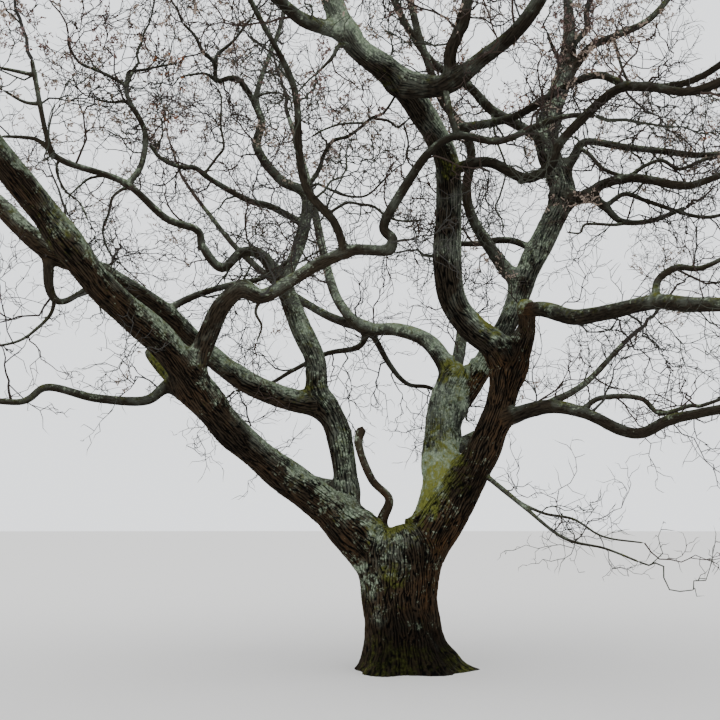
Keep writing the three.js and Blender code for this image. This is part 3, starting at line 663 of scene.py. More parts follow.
skins = joinRuns()
skinByName = {skin["name"]: skin for skin in skins}
skinByName.update({skin["also"]: skin for skin in skins if "also" in skin})
skinByName["trunk"] = trunkBody
for order, skin in enumerate(skins):
    skin["order"] = order
for skin in skins:  # the width of the blend where a limb leaves another
    thinner = min(skin["root"], skinByName[skin["from"]]["root"])
    width = min(bark["blendShare"] * 2 * thinner, bark["blendMost"])
    skin["width"] = bark["forkBlends"].get(skin["name"], width)

# knots and burrs seen in the photograph: place in metres, width, height
knobs = [
    ((-1.86, -0.95, 2.20), 0.24, 0.075), ((-2.10, -1.55, 3.01), 0.11, 0.040),
    ((-1.59, -1.58, 3.79), 0.09, 0.045), ((-0.17, -1.87, 4.04), 0.07, 0.035),
    ((-0.06, -2.05, 5.70), 0.13, 0.045), ((1.97, 1.40, 6.84), 0.14, 0.050),
    ((1.63, 0.82, 4.83), 0.12, 0.040), ((-0.31, -0.18, 1.57), 0.17, 0.110),
    ((0.06, -0.12, 1.53), 0.17, 0.085), ((1.04, -0.30, 3.52), 0.08, 0.045),
    ((1.15, -0.27, 3.42), 0.06, 0.040), ((1.07, -0.30, 3.36), 0.07, 0.030),
    ((0.71, 0.28, 2.49), 0.11, 0.060), ((1.35, -0.16, 3.96), 0.08, 0.035),
    ((-0.20, -0.50, 0.10), 0.16, 0.050), ((0.05, -0.50, 0.06), 0.12, 0.045),
    ((-3.05, -2.50, 3.95), 0.18, 0.040), ((0.88, -0.20, 2.30), 0.16, 0.030),
]


def knobSwell(spots):
    swell = np.zeros(len(spots))
    for place, width, height in knobs:
        off = np.linalg.norm(spots - np.array(place), axis=1) / width
        swell = np.maximum(swell, height * np.exp(-off**2))
    return swell


# the limbs that a skin is blended with: the one it leaves, those that leave it, and those beside it
def neighbours(skin):
    found = []
    parent = skinByName.get(skin["from"])
    for other in skins + [trunkBody]:
        if other is skin:
            continue
        otherParent = skinByName.get(other["from"])
        beside = otherParent is parent and skin is not trunkBody and other is not trunkBody
        if beside and parent is not trunkBody:
            apart = np.linalg.norm(skin["middles"][0] - other["middles"][0])
            beside = apart < bark["besideReach"]
        if other is parent or otherParent is skin or beside:
            found.append(other)
    return found


# how far spots are outside the smooth union of some bodies, and the way out there
def unionDistance(spots, bodies, own, base):
    off = way = None
    for body in bodies:
        theirs, outTheirs = body["distance"](spots)
        theirs = theirs - (base if body is own else knobSwell(spots))
        if off is None:
            off, way = theirs, outTheirs
            continue
        width = body["width"]
        mix = np.clip(0.5 + 0.5 * (theirs - off) / width, 0, 1)
        off = theirs + (off - theirs) * mix - width * mix * (1 - mix)
        way = unit(outTheirs + (way - outTheirs) * mix[:, None])
    return off, way


# how spots are moved at a joint: widths here are shares of the blend's own width
blending = {
    "rounds": 5, "stepShare": 0.85,     # steps towards the union, and how much of the way each goes
    "hidden": 0.55, "bare": 0.05,       # depths inside another limb where a spot stays, and is fully moved
    "dipWidth": 0.4,                    # a skin dips under another where that one is nearer
    "dipShare": 0.12, "dipMost": 0.014,
}


# moves spots near joints out to the smooth union of the limbs that meet there
def blendJoints(spots, outs, own):
    near = np.zeros(len(spots), dtype=bool)
    active = []
    for other in neighbours(own):
        width = max(own, other, key=lambda body: body["order"])["width"]
        inside = np.all((spots > other["low"] - width) & (spots < other["high"] + width), axis=1)
        if not inside.any():
            continue
        away = np.full(len(spots), farOff)
        away[inside] = other["distance"](spots[inside])[0]
        if (away < width).any():
            active.append((other, width, away))
            near |= away < width
    if not active:
        return
    index = np.nonzero(near)[0]
    start = spots[index]
    place = start.copy()
    bodies = sorted([other for other, _, _ in active] + [own], key=lambda body: body["order"])
    base = own["distance"](start)[0]
    for _ in range(blending["rounds"]):
        off, way = unionDistance(place, bodies, own, base)
        place -= way * off[:, None] * blending["stepShare"]
    mine = own["distance"](place)[0] - base
    weight = np.ones(len(index))
    sink = np.zeros(len(index))
    for other, width, away in active:
        clear = smoothStep(-blending["hidden"] * width, -blending["bare"] * width, away[index])
        weight = np.minimum(weight, clear)
        theirs = other["distance"](place)[0]
        most = min(blending["dipMost"], blending["dipShare"] * width)
        sink = np.maximum(sink, smoothStep(0, blending["dipWidth"] * width, mine - theirs) * most)
    place -= way * sink[:, None]
    spots[index] = start + (place - start) * weight[:, None]
    outs[index] = unit(outs[index] + (way - outs[index]) * weight[:, None])


# the grid that a skin is bent from, its seam closed and its ends drawn to a point
def bentGrid(name, columns, rows, bend):
    bm = bmesh.new()
    bm.loops.layers.uv.new("bark")
    bmesh.ops.create_grid(bm, x_segments=columns, y_segments=rows, size=0.5, calc_uvs=True)
    mesh = bpy.data.meshes.new(name)
    bm.to_mesh(mesh)
    bm.free()
    flat = np.empty(len(mesh.vertices) * 3)
    mesh.vertices.foreach_get("co", flat)
    flat = flat.reshape(-1, 3) + 0.5
    column = np.rint(flat[:, 0] / flat[:, 0].max() * columns).astype(int)
    row = np.rint(flat[:, 1] / flat[:, 1].max() * rows).astype(int)
    spots, values, wide, long = bend(column % columns, row)
    mesh.vertices.foreach_set("co", spots.astype(np.float32).ravel())
    for key, value in values.items():
        layer = mesh.attributes.new(key, "FLOAT", "POINT")
        layer.data.foreach_set("value", value.astype(np.float32))
    uvs = np.empty(len(mesh.loops) * 2, dtype=np.float32)
    mesh.uv_layers[0].data.foreach_get("uv", uvs)
    uvs = uvs.reshape(-1, 2) * np.array([wide, long], dtype=np.float32)  # metres
    mesh.uv_layers[0].data.foreach_set("uv", uvs.ravel())
    bm = bmesh.new()
    bm.from_mesh(mesh)
    bm.verts.ensure_lookup_table()
    edge = [bm.verts[i] for i in np.nonzero(
        (column == 0) | (column == columns) | (row == 0) | (row == rows))[0]]
    bmesh.ops.remove_doubles(bm, verts=edge, dist=1e-5)
    bm.to_mesh(mesh)
    bm.free()
    return mesh


# plates and furrows on the spots of a skin: where the ridges are, and how far each spot moves
def dress(spots, outs, turn, run, radius, own):
    around = max(6, 2 * round(own["girth"] / own.get("plateWidth", bark["plateWidth"]) / 2))
    across = turn * around
    along = run / own.get("plateLength", bark["plateLength"])
    for far, size, seed in bark["waver"]:
        across = across + far * lumps(spots, size, seed)
    farLong, sizeLong, seedLong = bark["waverLong"]
    along = along + farLong * lumps(spots, sizeLong, seedLong)
    edge, tone = plates(np.mod(across, around), along, around, own["seed"])
    strength = np.clip(radius / bark["plainBelow"], bark["plainest"], 1)
    ridge = smoothStep(0.0, bark["furrowEdge"], edge)
    fine = lumps(spots * np.array([1, 1, 0.5]), bark["grain"], 17)
    depth = np.clip(bark["furrow"] * radius * 2, bark["furrowLeast"], bark["furrowMost"]) * strength
    push = depth * (ridge * (0.75 + 0.5 * tone) - 0.8 + 0.3 * fine)
    return 1 - strength * (1 - ridge * (0.7 + 0.3 * tone)), outs * push[:, None]


# how mossy, how lichened, how warm a brown each limb is in the photograph, and how far painted shade, with
# damp, darkens it
looks = {
    "trunk": (0.30, 0.40, 0.30, 0.30), "left_bough": (0.42, 0.90, 0.32, 0.24),
    "right_stem": (0.25, 0.40, 0.62, 0.15), "back_stem": (0.55, 1.20, -0.60, 0.05),
    "left_riser": (0.30, 0.66, 0.10, 0.05), "left_arch": (0.30, 0.85, 0.20, 0.05),
    "crossing_bough": (0.35, 0.80, 0.10, 0.10),
    "crossing_bough_far": (0.30, 0.55, -0.40, 0.55), "back_arch": (0.30, 1.05, -0.60, 0.00),
    "centre_stem": (0.32, 1.25, -0.60, 0.00), "tall_stem": (0.28, 0.80, -0.70, 0.00),
    "centre_stem_top": (0.25, 1.10, -0.90, 0.00), "tall_stem_top": (0.26, 0.68, -1.00, 0.00),
    "side_limb": (0.50, 0.60, -0.20, 0.35), "low_right_limb": (0.50, 0.60, -0.20, 0.35),
    "winding_limb": (0.25, 0.80, -0.50, 0.10), "winding_riser": (0.20, 0.60, -0.20, 0.20),
    "slanting_limb": (0.30, 0.60, -0.50, 0.20), "low_left_limb": (0.40, 0.50, -0.20, 0.50),
    "front_right_limb": (0.30, 0.40, -0.20, 0.60), "upper_right_limb": (0.30, 0.40, -0.20, 0.60),
    "centre_right_fork": (0.35, 0.50, -0.20, 0.40), "inner_limb": (0.25, 0.60, -0.40, 0.20),
    "dead_stub": (0.05, 0.55, 0.35, 0.10), "mossyStub": (0.80, 0.90, -0.20, 0.00),
}
plainLook = (0.32, 0.55, -0.50, 0.35)

# patches seen on the bark: kind, place in metres, radius, how strong. The darkening patches are painted
# shade, with damp bark in it
patches = [
    ("moss", (-0.06, -0.12, 1.56), 0.34, 0.68), ("moss", (0.42, -0.02, 1.95), 0.40, 0.62),
    ("moss", (0.36, 0.05, 2.45), 0.42, 0.48), ("moss", (0.92, -0.28, 3.70), 0.22, 0.75),
    ("moss", (-3.10, -2.30, 4.20), 0.55, 0.42), ("moss", (-2.45, -0.95, 3.10), 0.34, 0.80),
    ("moss", (-0.26, -1.95, 5.62), 0.20, 0.90), ("moss", (0.05, -0.60, 0.10), 0.42, 0.55),
    ("moss", (0.45, -1.15, 5.08), 0.18, 0.80), ("moss", (-0.22, -0.20, 1.55), 0.20, 0.50),
    ("moss", (-0.40, -0.40, 0.10), 0.40, 0.50), ("moss", (0.60, -0.20, 0.06), 0.30, 0.60),
    ("moss", (-0.12, -0.42, 0.95), 0.20, 0.50), ("moss", (-1.15, 0.2, 2.98), 0.25, 0.50),
    ("moss", (0.66, 0.4, 3.3), 0.30, 0.60), ("moss", (0.0, 0.45, 0.3), 0.50, 0.60),
    ("lichen", (-0.48, -0.12, 1.05), 0.38, 0.68), ("lichen", (-0.15, -0.42, 1.36), 0.34, 0.66),
    ("lichen", (0.34, -0.25, 1.72), 0.42, 0.48), ("lichen", (-0.33, -0.24, 0.86), 0.30, 0.64),
    ("lichen", (-0.25, -0.32, 0.64), 0.20, 0.52), ("lichen", (-0.12, -0.38, 1.12), 0.30, 0.56),
    ("lichen", (0.40, 0.12, 1.98), 0.40, 1.40), ("lichen", (-0.30, -0.20, 1.55), 0.30, 0.60),
    ("lichen", (-0.62, -0.25, 1.70), 0.36, 0.66),
    ("lichen", (-1.10, -0.50, 2.12), 0.36, 0.64), ("lichen", (0.10, -0.45, 0.42), 0.16, 0.50),
    ("lichen", (-1.90, -1.10, 2.90), 0.34, 0.66), ("lichen", (-2.7, -1.9, 3.75), 0.40, 0.55),
    ("moss", (0.26, -0.14, 1.70), 0.20, 0.85), ("moss", (0.46, -0.08, 1.93), 0.19, 0.80),
    ("moss", (0.62, -0.04, 2.14), 0.17, 0.70), ("moss", (0.72, -0.30, 0.10), 0.28, 0.75),
    ("moss", (-0.15, -0.50, 0.12), 0.26, 0.62), ("lichen", (1.37, -0.15, 3.94), 0.17, 0.90),
    ("moss", (1.43, -0.15, 3.93), 0.13, 0.72), ("shadeAndDamp", (0.50, 0.20, 2.80), 0.30, 0.40),
    ("lichen", (1.03, -0.28, 3.50), 0.13, 0.72), ("shadeAndDamp", (0.75, -0.30, 1.90), 0.36, 0.65),
    ("lichen", (-0.65, 0.0, 1.9), 0.25, 0.55), ("lichen", (-0.2, 0.4, 1.1), 0.45, 0.55),
    ("warm", (0.40, -0.30, 0.80), 0.48, 0.95), ("warm", (-0.05, -0.45, 0.72), 0.18, 0.60),
    ("warm", (0.50, -0.25, 1.30), 0.40, 0.90), ("warm", (-0.55, -0.3, 1.25), 0.30, 0.60),
    ("shadeAndDamp", (0.0, -0.5, 0.28), 0.52, 1.05), ("shadeAndDamp", (0.25, -0.40, 1.20), 0.30, 0.60),
    ("shadeAndDamp", (-0.50, -0.35, 1.20), 0.25, 0.50), ("shadeAndDamp", (0.80, -0.2, 1.75), 0.35, 0.50),
    ("shadeAndDamp", (1.18, -0.27, 3.34), 0.20, 0.80), ("warm", (0.88, 0.55, 3.15), 0.32, 0.90),
    ("shadeAndDamp", (-4.00, -3.05, 5.05), 1.30, 0.75), ("shadeAndDamp", (0.30, -0.40, 0.20), 0.50, 1.00),
    ("shadeAndDamp", (-1.75, -0.9, 2.3), 0.30, 0.60),
]

# how far along a limb the look changes: metres, and shares of its radius at the start
lookChange = {"start": 0.1, "least": 0.2, "rootShare": 2.5, "rootShareOnTrunk": 5, "joined": 0.5}


# a limb keeps the look of the one it leaves for a while. A joined pair goes from the first one's
# look to the second's.
def lookAlong(skin, runs):
    own = np.array(looks.get(skin["name"], plainLook))
    if "also" in skin:
        first = np.array(looks.get(skin["also"], own))
        past = runs - skin["change"] * skin["length"]
        own = first + (own - first) * smoothStep(-lookChange["joined"], lookChange["joined"], past)[:, None]
    below = np.array(looks.get(skin["from"], plainLook))
    share = lookChange["rootShareOnTrunk" if skin["from"] == "trunk" else "rootShare"]
    reach = lookChange["least"] + share * skin["root"]
    return (below + (own - below) * smoothStep(lookChange["start"], reach, runs)[:, None]).T


# sizes of the lumps that what grows on the bark, and the painted shade with damp, come in, in metres, with a
# seed for each
coverLumps = {"broad": (0.55, 21), "middle": (0.17, 22), "small": (0.07, 24),
              "warm": (0.4, 23), "shadeAndDamp": (0.3, 25)}
# how much of each there is anywhere, and how much more on top, on the +X side or in lumps
coverShares = {
    "moss": {"anywhere": 0.20, "up": 0.60, "broad": 0.45, "middle": 0.35},
    "mossPatch": {"anywhere": 0.85, "up": 0.3, "middle": 0.25},
    "lichen": {"anywhere": 0.50, "broad": 0.45, "up": 0.60, "east": 0.12, "middle": 0.25},
    "lichenPatch": {"anywhere": 0.95, "up": 0.25, "small": 0.3},
    "warm": {"anywhere": 0.80, "warm": 0.6},
    # painted shade with damp, more of it on the lower sides where the shade falls
    "shadeAndDamp": {"anywhere": 0.8, "shadeAndDamp": 0.5, "up": -0.3},
}
cover = {
    "patchEdge": (1.25, 0.35),  # where a patch starts and is full, as shares of its radius
    "ragged": (0.10, 0.06),     # how far middle and small lumps shift a patch's edge
    "deadMoss": 0.1,            # a limb with less moss than this is dead wood, and stays bare
    "fadedTop": 0.4,            # warm brown weathers away on top
    "shadeUnder": 0.35,
    "most": 1.6,
}


# how much of each colour there is on the spots, from the limb's look and the patches, with the painted shade
def maskValues(spots, outs, ridge, look):
    moss, lichen, warm, shadeAndDamp = look
    up = outs[:, 2]
    traits = {key: lumps(spots, size, seed) for key, (size, seed) in coverLumps.items()}
    traits.update(up=up, east=outs[:, 0])

    def amount(kind):
        shares = dict(coverShares[kind])
        total = shares.pop("anywhere")
        for trait, share in shares.items():
            total = total + share * traits[trait]
        return total

    seen = {kind: np.zeros(len(spots)) for kind in ("moss", "lichen", "warm", "shadeAndDamp")}
    ragged = cover["ragged"][0] * traits["middle"] + cover["ragged"][1] * traits["small"]
    outer, inner = cover["patchEdge"]
    for kind, place, radius, strength in patches:
        off = np.linalg.norm(spots - np.array(place), axis=1)
        strength = strength * smoothStep(radius * outer, radius * inner, off + ragged)
        seen[kind] = np.maximum(seen[kind], strength)
    if np.min(moss) < cover["deadMoss"]:
        seen["moss"] *= 0
    under = cover["shadeUnder"] * np.clip(-up, 0, 1) * (1 - np.maximum(warm, 0))
    values = {
        "moss": np.maximum(moss * amount("moss"), seen["moss"] * amount("mossPatch")),
        "lichen": np.maximum(lichen * amount("lichen"), seen["lichen"] * amount("lichenPatch")),
        "warm": np.maximum(warm * amount("warm") - cover["fadedTop"] * abs(warm) * up, seen["warm"]),
        # painted shade with damp: the limb's darkness, the darkening patches and painted shade on the
        # undersides
        "shadeAndDamp": np.maximum(shadeAndDamp * amount("shadeAndDamp") + under, seen["shadeAndDamp"]),
    }
    return {"ridge": ridge, **{key: np.clip(value, -1, cover["most"]) for key, value in values.items()}}


# the grid, lumps and scars of a limb's bark, sizes in metres
limbGrid = {
    "leastColumns": 9, "leastRows": 12,
    "evenRadius": 0.10, "fineness": (0.8, 1.25),    # thicker limbs get a finer grid, thinner a coarser
    "thinBelow": 0.06, "thinColumns": 10, "thinCellLong": 0.035,
    "thinPlates": (0.03, 0.1),
    "lumpSize": 0.42, "lumpSmall": 0.15, "lumpSmallShare": 0.055,
    "scarSize": 0.055, "scarSwell": 0.16, "scarDip": 0.8, "scarDipShare": 0.45,
    "scarFullRadius": 0.12,                         # thinner limbs have smaller scars
}


def limbSkin(skin, number):
    radiusMost = skin["radii"].max()
    skin["seed"] = 100 + number
    skin["girth"] = 2 * math.pi * radiusMost
    fineness = np.clip(limbGrid["evenRadius"] / radiusMost, *limbGrid["fineness"])
    columns = max(limbGrid["leastColumns"], int(skin["girth"] / (bark["cell"] * fineness)))
    rows = max(limbGrid["leastRows"], int(skin["length"] / (bark["cellLong"] * fineness)))
    if radiusMost < limbGrid["thinBelow"]:
        skin["plateWidth"], skin["plateLength"] = limbGrid["thinPlates"]
        columns, rows = limbGrid["thinColumns"], int(skin["length"] / limbGrid["thinCellLong"])
    runs = np.linspace(0, skin["length"], rows + 1)
    shares = skin["shareAt"](runs)
    centres = alongRoute(skin["points"], shares)
    headings = unit(np.gradient(centres, axis=0))
    sides = np.empty_like(centres)
    side = np.array([0.0, 1, 0]) if abs(headings[0][1]) < 0.8 else np.array([1.0, 0, 0])
    for i, heading in enumerate(headings):
        side = side - heading * (side @ heading)
        side = side / np.linalg.norm(side)
        sides[i] = side
    acrosses = np.cross(sides, headings)
    radii = radiusAt(skin["thick"], shares)
    for end, left in ((radii[0], runs), (radii[-1], skin["length"] - runs)):  # round ends
        radii = radii * np.sqrt(np.clip(1 - np.clip(1 - left / end, 0, 1) ** 2, 0, 1))
    draw = drawsFrom(skin["seed"] * indexFactor)
    scars = []
    for i in range(int(skin["length"] / bark["scarSpacing"])):
        scars.append(((i + 0.2 + 0.7 * draw()) * bark["scarSpacing"], draw(), 0.6 + 0.8 * draw()))

    def bend(column, row):
        turn = column / columns
        angle = (turn * 2 * math.pi)[:, None]
        outs = sides[row] * np.cos(angle) + acrosses[row] * np.sin(angle)
        radius = radii[row]
        base = centres[row] + outs * radius[:, None]
        swell = 1 + bark["lumpShare"] * lumps(centres[row], limbGrid["lumpSize"], number + 31)
        small = lumps(base, limbGrid["lumpSmall"] + radiusMost, number + 57)
        swell = swell + limbGrid["lumpSmallShare"] * small
        for place, facing, size in scars:
            width = limbGrid["scarSize"] * size * min(1, radiusMost / limbGrid["scarFullRadius"])
            apart = np.mod(turn - facing + 0.5, 1) - 0.5
            off = np.hypot(runs[row] - place, apart * 2 * math.pi * radius) / width
            dip = limbGrid["scarDip"] * np.exp(-(off / limbGrid["scarDipShare"]) ** 2)
            swell = swell + limbGrid["scarSwell"] * (np.exp(-off**2) - dip)
        spots = centres[row] + outs * (radius * swell + knobSwell(base))[:, None]
        blendJoints(spots, outs, skin)
        ridge, relief = dress(spots, outs, turn, runs[row], radius, skin)
        masks = maskValues(spots, outs, ridge, lookAlong(skin, runs[row]))
        return spots + relief, masks, skin["girth"], skin["length"]

    return bentGrid(skin["name"], columns, rows, bend)


trunkGrid = {
    "columns": 330, "rows": 176, "sideRows": 130,   # the rows above the sides go over the dome
    "girth": 2.6, "height": 1.8,                    # of the bark's pattern, in metres
    "domeRun": 0.4,                                 # how far the furrows run on over the dome
    "lump": (0.02, 0.3), "footLump": (0.05, 0.17),  # how far out, size
    "footHeight": 0.22,
    "furrowRadius": 0.2,
}


def trunkSkin():
    columns, rows, sideRows = trunkGrid["columns"], trunkGrid["rows"], trunkGrid["sideRows"]
    lump, lumpSize = trunkGrid["lump"]
    footLump, footLumpSize = trunkGrid["footLump"]
    climb = np.linspace(0, math.pi / 2, rows - sideRows)
    heights = np.concatenate([[0], np.linspace(0, trunk["shoulder"], sideRows),
                              trunk["shoulder"] + trunk["dome"] * np.sin(climb)])
    inward = np.concatenate([[0], np.ones(sideRows), np.cos(climb)])
    rise = np.concatenate([np.zeros(sideRows + 1), np.sin(climb)])
    trunkBody.update(seed=100, girth=trunkGrid["girth"])  # for its furrows, as a limb's

    def bend(column, row):
        turn = column / columns
        angle = turn * 2 * math.pi + math.pi / 2
        height = heights[row]
        radius = trunkRadius(np.minimum(height, trunk["shoulder"]), angle)
        level = np.stack([np.cos(angle), np.sin(angle), np.zeros(len(row))], axis=1)
        spots = level * (radius * inward[row])[:, None]
        spots[:, 0] += trunkMiddle(height)
        spots[:, 2] = height
        upward = rise[row][:, None] * np.array([0, 0, 1.0])
        outs = unit(level * inward[row][:, None] + upward + level * 1e-4)
        foot = np.exp(-height / trunkGrid["footHeight"])
        swell = lump * lumps(spots, lumpSize, 5) + footLump * foot * lumps(spots, footLumpSize, 6)
        swell = swell + knobSwell(spots)
        spots = spots + outs * (swell * np.where(row == 0, 0, 1))[:, None]
        blendJoints(spots, outs, trunkBody)
        domeRun = trunkGrid["domeRun"] * climb[np.maximum(row - sideRows - 1, 0)]
        run = np.where(rise[row] > 0, trunk["shoulder"] + domeRun, height)
        thick = np.full(len(row), trunkGrid["furrowRadius"])
        ridge, relief = dress(spots, outs, turn, run, thick, trunkBody)
        spots = spots + relief * (inward[row] > 0)[:, None]
        spots[:, 2] = np.maximum(spots[:, 2], 0)
        spots[row <= 1, 2] = 0
        masks = maskValues(spots, outs, ridge, looks["trunk"])
        return spots, masks, trunkGrid["girth"], trunkGrid["height"]

    return bentGrid("trunk", columns, rows, bend)


# Oak bark, dead cork plates split by growth: rough, with no gloss. The furrows are near black, their dark
# bark with painted shade in it, the plates weather grey-brown, and algae, lichen and moss lie on them where
# rain reaches. Painted shade, with damp, darkens the undersides, some limbs and patches.

barkColours = {
    # near black: the furrow's dark bark with painted shade in it
    "furrow": "#060504",
    "plate": "#39332a",
    "warm": "#523a24",
    "algae": "#767e73",
    "lichen": "#76866f",
    "lichenPale": "#a9b59f",
    "mossDark": "#1a1f0b",
    "mossBright": "#73773a",
    "shade": "#040404",
}
# size in metres and fineness of the patterns
barkPatterns = {
    "fibre": (0.016, 4),    # splits in a plate, 16 mm apart
    "speck": (0.026, 4), "blotch": (0.085, 5), "patch": (0.20, 4),
    "cushion": (0.07, 5), "tuft": (0.030, 5),
}
# where each colour or form starts on its pattern, and where it is full
barkRamps = {
    "plate": (1.05, 1.95), "warm": (0.32, 0.58), "algae": (0.95, 1.85),
    "lichen": (2.28, 2.72), "lichenHigh": (0.50, 1.20), "lichenPale": (0.42, 0.66),
    "moss": (1.35, 1.80), "mossBright": (0.56, 1.04),
    "furrow": (0.55, 0.0), "noAlgae": (1.0, 0.25),
}
barkFinish = {"roughness": 0.92, "gloss": 0.04, "fibreStretch": 0.22, "furrowAlgae": 0.38, "shade": 0.65,
              "bump": 0.8, "bumpHeight": 0.006}


def barkMaterial():
    material = bpy.data.materials.new("oakBark")
    material.use_nodes = True
    tree = material.node_tree
    shader = tree.nodes["Principled BSDF"]
    shader.inputs["Roughness"].default_value = barkFinish["roughness"]
    shader.inputs["Specular IOR Level"].default_value = barkFinish["gloss"]
    place = addNode(tree, "ShaderNodeTexCoord").outputs["Object"]
    flat = addNode(tree, "ShaderNodeUVMap", {"uv_map": "bark"}).outputs["UV"]
    masks = {key: addNode(tree, "ShaderNodeAttribute", {"attribute_name": key}).outputs["Fac"]
             for key in ("ridge", "moss", "lichen", "warm", "shadeAndDamp")}

    def noise(vector, name):
        size, detail = barkPatterns[name]
        return addNode(tree, "ShaderNodeTexNoise", {"Scale": 1 / size, "Detail": detail, "Roughness": 0.6},
                       {"Vector": vector}).outputs["Fac"]

    def spread(value, name):
        low, high = barkRamps[name]
        return addNode(tree, "ShaderNodeMapRange", {"From Min": low, "From Max": high},
                       {"Value": value}).outputs["Result"]

    def times(first, second):
        return addNode(tree, "ShaderNodeMath", {"operation": "MULTIPLY"}, {0: first, 1: second}).outputs[0]

    def plus(first, second, share):
        return addNode(tree, "ShaderNodeMath", {"operation": "MULTIPLY_ADD", 1: share},
                       {0: second, 2: first}).outputs[0]

    def over(below, colour, factor):
        return addNode(tree, "ShaderNodeMix", {"data_type": "RGBA", 7: linear(colour)},
                       {0: factor, 6: below}).outputs[2]

    def between(first, second, factor):
        return addNode(tree, "ShaderNodeMix", {"data_type": "RGBA", 6: linear(first), 7: linear(second)},
                       {0: factor}).outputs[2]

    grain = addNode(tree, "ShaderNodeMapping", {"Scale": (1, barkFinish["fibreStretch"], 1)},
                    {"Vector": flat}).outputs[0]
    fibre = noise(grain, "fibre")
    speck, blotch, patch = (noise(place, name) for name in ("speck", "blotch", "patch"))

    # cork plates over near-black furrows, their dark bark with painted shade in it, browner in patches
    plateTone = spread(plus(masks["ridge"], fibre, 1.8), "plate")
    colour = between(barkColours["furrow"], barkColours["plate"], plateTone)
    warm = times(masks["warm"], times(spread(patch, "warm"), plateTone))
    colour = over(colour, barkColours["warm"], warm)

    # a film of algae, thinner in the furrows
    algae = spread(plus(plus(masks["lichen"], patch, 1.6), masks["warm"], -0.9), "algae")
    deep = addNode(tree, "ShaderNodeMapRange", {"To Min": barkFinish["furrowAlgae"]},
                   {"Value": plateTone}).outputs["Result"]
    colour = over(colour, barkColours["algae"], times(algae, deep))

    # crusts of lichen on the high parts
    crust = plus(plus(masks["lichen"], blotch, 2.0), speck, 1.5)
    high = plus(plus(masks["ridge"], fibre, 0.6), masks["lichen"], 0.5)
    lichenCover = times(spread(crust, "lichen"), spread(high, "lichenHigh"))
    lichenTone = between(barkColours["lichen"], barkColours["lichenPale"], spread(speck, "lichenPale"))
    colour = addNode(tree, "ShaderNodeMix", {"data_type": "RGBA"},
                     {0: lichenCover, 6: colour, 7: lichenTone}).outputs[2]

    # cushions of moss over all of it
    cushion = plus(plus(masks["moss"], noise(place, "cushion"), 1.9), masks["ridge"], 0.25)
    mossCover = spread(cushion, "moss")
    mossLit = plus(plus(noise(place, "tuft"), masks["moss"], 0.30), masks["lichen"], 0.30)
    mossTone = between(barkColours["mossDark"], barkColours["mossBright"], spread(mossLit, "mossBright"))
    colour = addNode(tree, "ShaderNodeMix", {"data_type": "RGBA"},
                     {0: mossCover, 6: colour, 7: mossTone}).outputs[2]

    # painted shade: in open furrows, on the undersides of the limbs, and on the darker limbs and patches,
    # where it also stands for damp bark
    furrowed = times(spread(masks["ridge"], "furrow"), spread(algae, "noAlgae"))
    dim = addNode(tree, "ShaderNodeMath", {"operation": "MULTIPLY", 1: barkFinish["shade"]},
                  {0: masks["shadeAndDamp"]})
    shade = addNode(tree, "ShaderNodeMath", {"operation": "MAXIMUM"},
                    {0: dim.outputs[0], 1: furrowed}).outputs[0]
    colour = over(colour, barkColours["shade"], shade)
    height = plus(times(fibre, masks["ridge"]), mossCover, 0.5)
    bump = addNode(tree, "ShaderNodeBump",
                   {"Strength": barkFinish["bump"], "Distance": barkFinish["bumpHeight"]},
                   {"Height": height})
    tree.links.new(colour, shader.inputs["Base Color"])
    tree.links.new(bump.outputs["Normal"], shader.inputs["Normal"])
    return material


oakBark = barkMaterial()


# joins meshes into one piece that rides on the tree and replaces its nodes
def makePiece(name, meshes, materials, nodes):
    whole = bpy.data.meshes.new(name)
    if len(meshes) > 1:
        bm = bmesh.new()
        for mesh in meshes:
            bm.from_mesh(mesh)
        bm.to_mesh(whole)
        bm.free()
    else:
        whole = meshes[0]
        whole.name = name
    whole.shade_smooth()
    for material in materials:
        whole.materials.append(material)
    piece = bpy.data.objects.new(name, whole)
    bpy.context.collection.objects.link(piece)
    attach(piece, "root")
    if nodes:
        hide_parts(*nodes)
    triangles = sum(len(face.vertices) - 2 for face in whole.polygons)
    print(f"{name}: {triangles} triangles")
    return triangles


# the limbs of each piece of bark
skinGroups = {
    "leftBough": ["left_bough", "mossyStub"],
    "rightStem": ["right_stem", "droopingSpray", "lowerDroop"],
    "backStem": ["back_stem", "dead_stub"],
    "centreStem": ["centre_stem_top", "centre_right_fork", "centre_left_fork", "centreRise", "deadTwig"],
    "tallStem": ["tall_stem_top", "behindTall", "topSmallFork", "topStemLeft"],
    "leftRiser": ["left_riser", "left_arch", "hookLimb", "hangingHook", "hookTail"],
    "backArch": ["back_arch", "archDrop", "archFork", "rear_left_bough"],
    "crossingBough": ["crossing_bough_far", "crossing_riser", "crossRise", "underCross", "fanUnder"],
    "windingLimbs": ["winding_riser", "winding_limb", "winding_fork", "low_left_limb", "windingSide",
                     "windingTipLeft", "windingTipRight", "windingCurl", "riserFork", "riserForkRight",
                     "riserForkLow", "leftTopEdge", "leftMidEdge", "leftLowEdge", "midRiser", "underLeftA",
                     "underLeftB", "underLeftC", "fanLimb", "fanForkRight", "fanForkLeft", "fanLow",
                     "fanHang", "riserTwig"],
    "rearBoughs": ["rear_right_bough", "low_rear_right_bough", "low_rear_left_bough"],
    "rightLimbs": ["side_limb", "sideRiser", "low_right_limb", "lowRightFork", "right_limb", "rightLow",
                   "rightLowFork", "rightReturn"],
    "upperLimbs": ["slanting_limb", "inner_limb", "upper_right_limb", "front_right_limb", "innerHang",
                   "right_back_limb", "top_right_limb", "hangingRight", "crossingTwig"],
}
total = makePiece("trunkBark", [trunkSkin()], [oakBark], ["trunk"])
numbers = {skin["name"]: number for number, skin in enumerate(skins)}
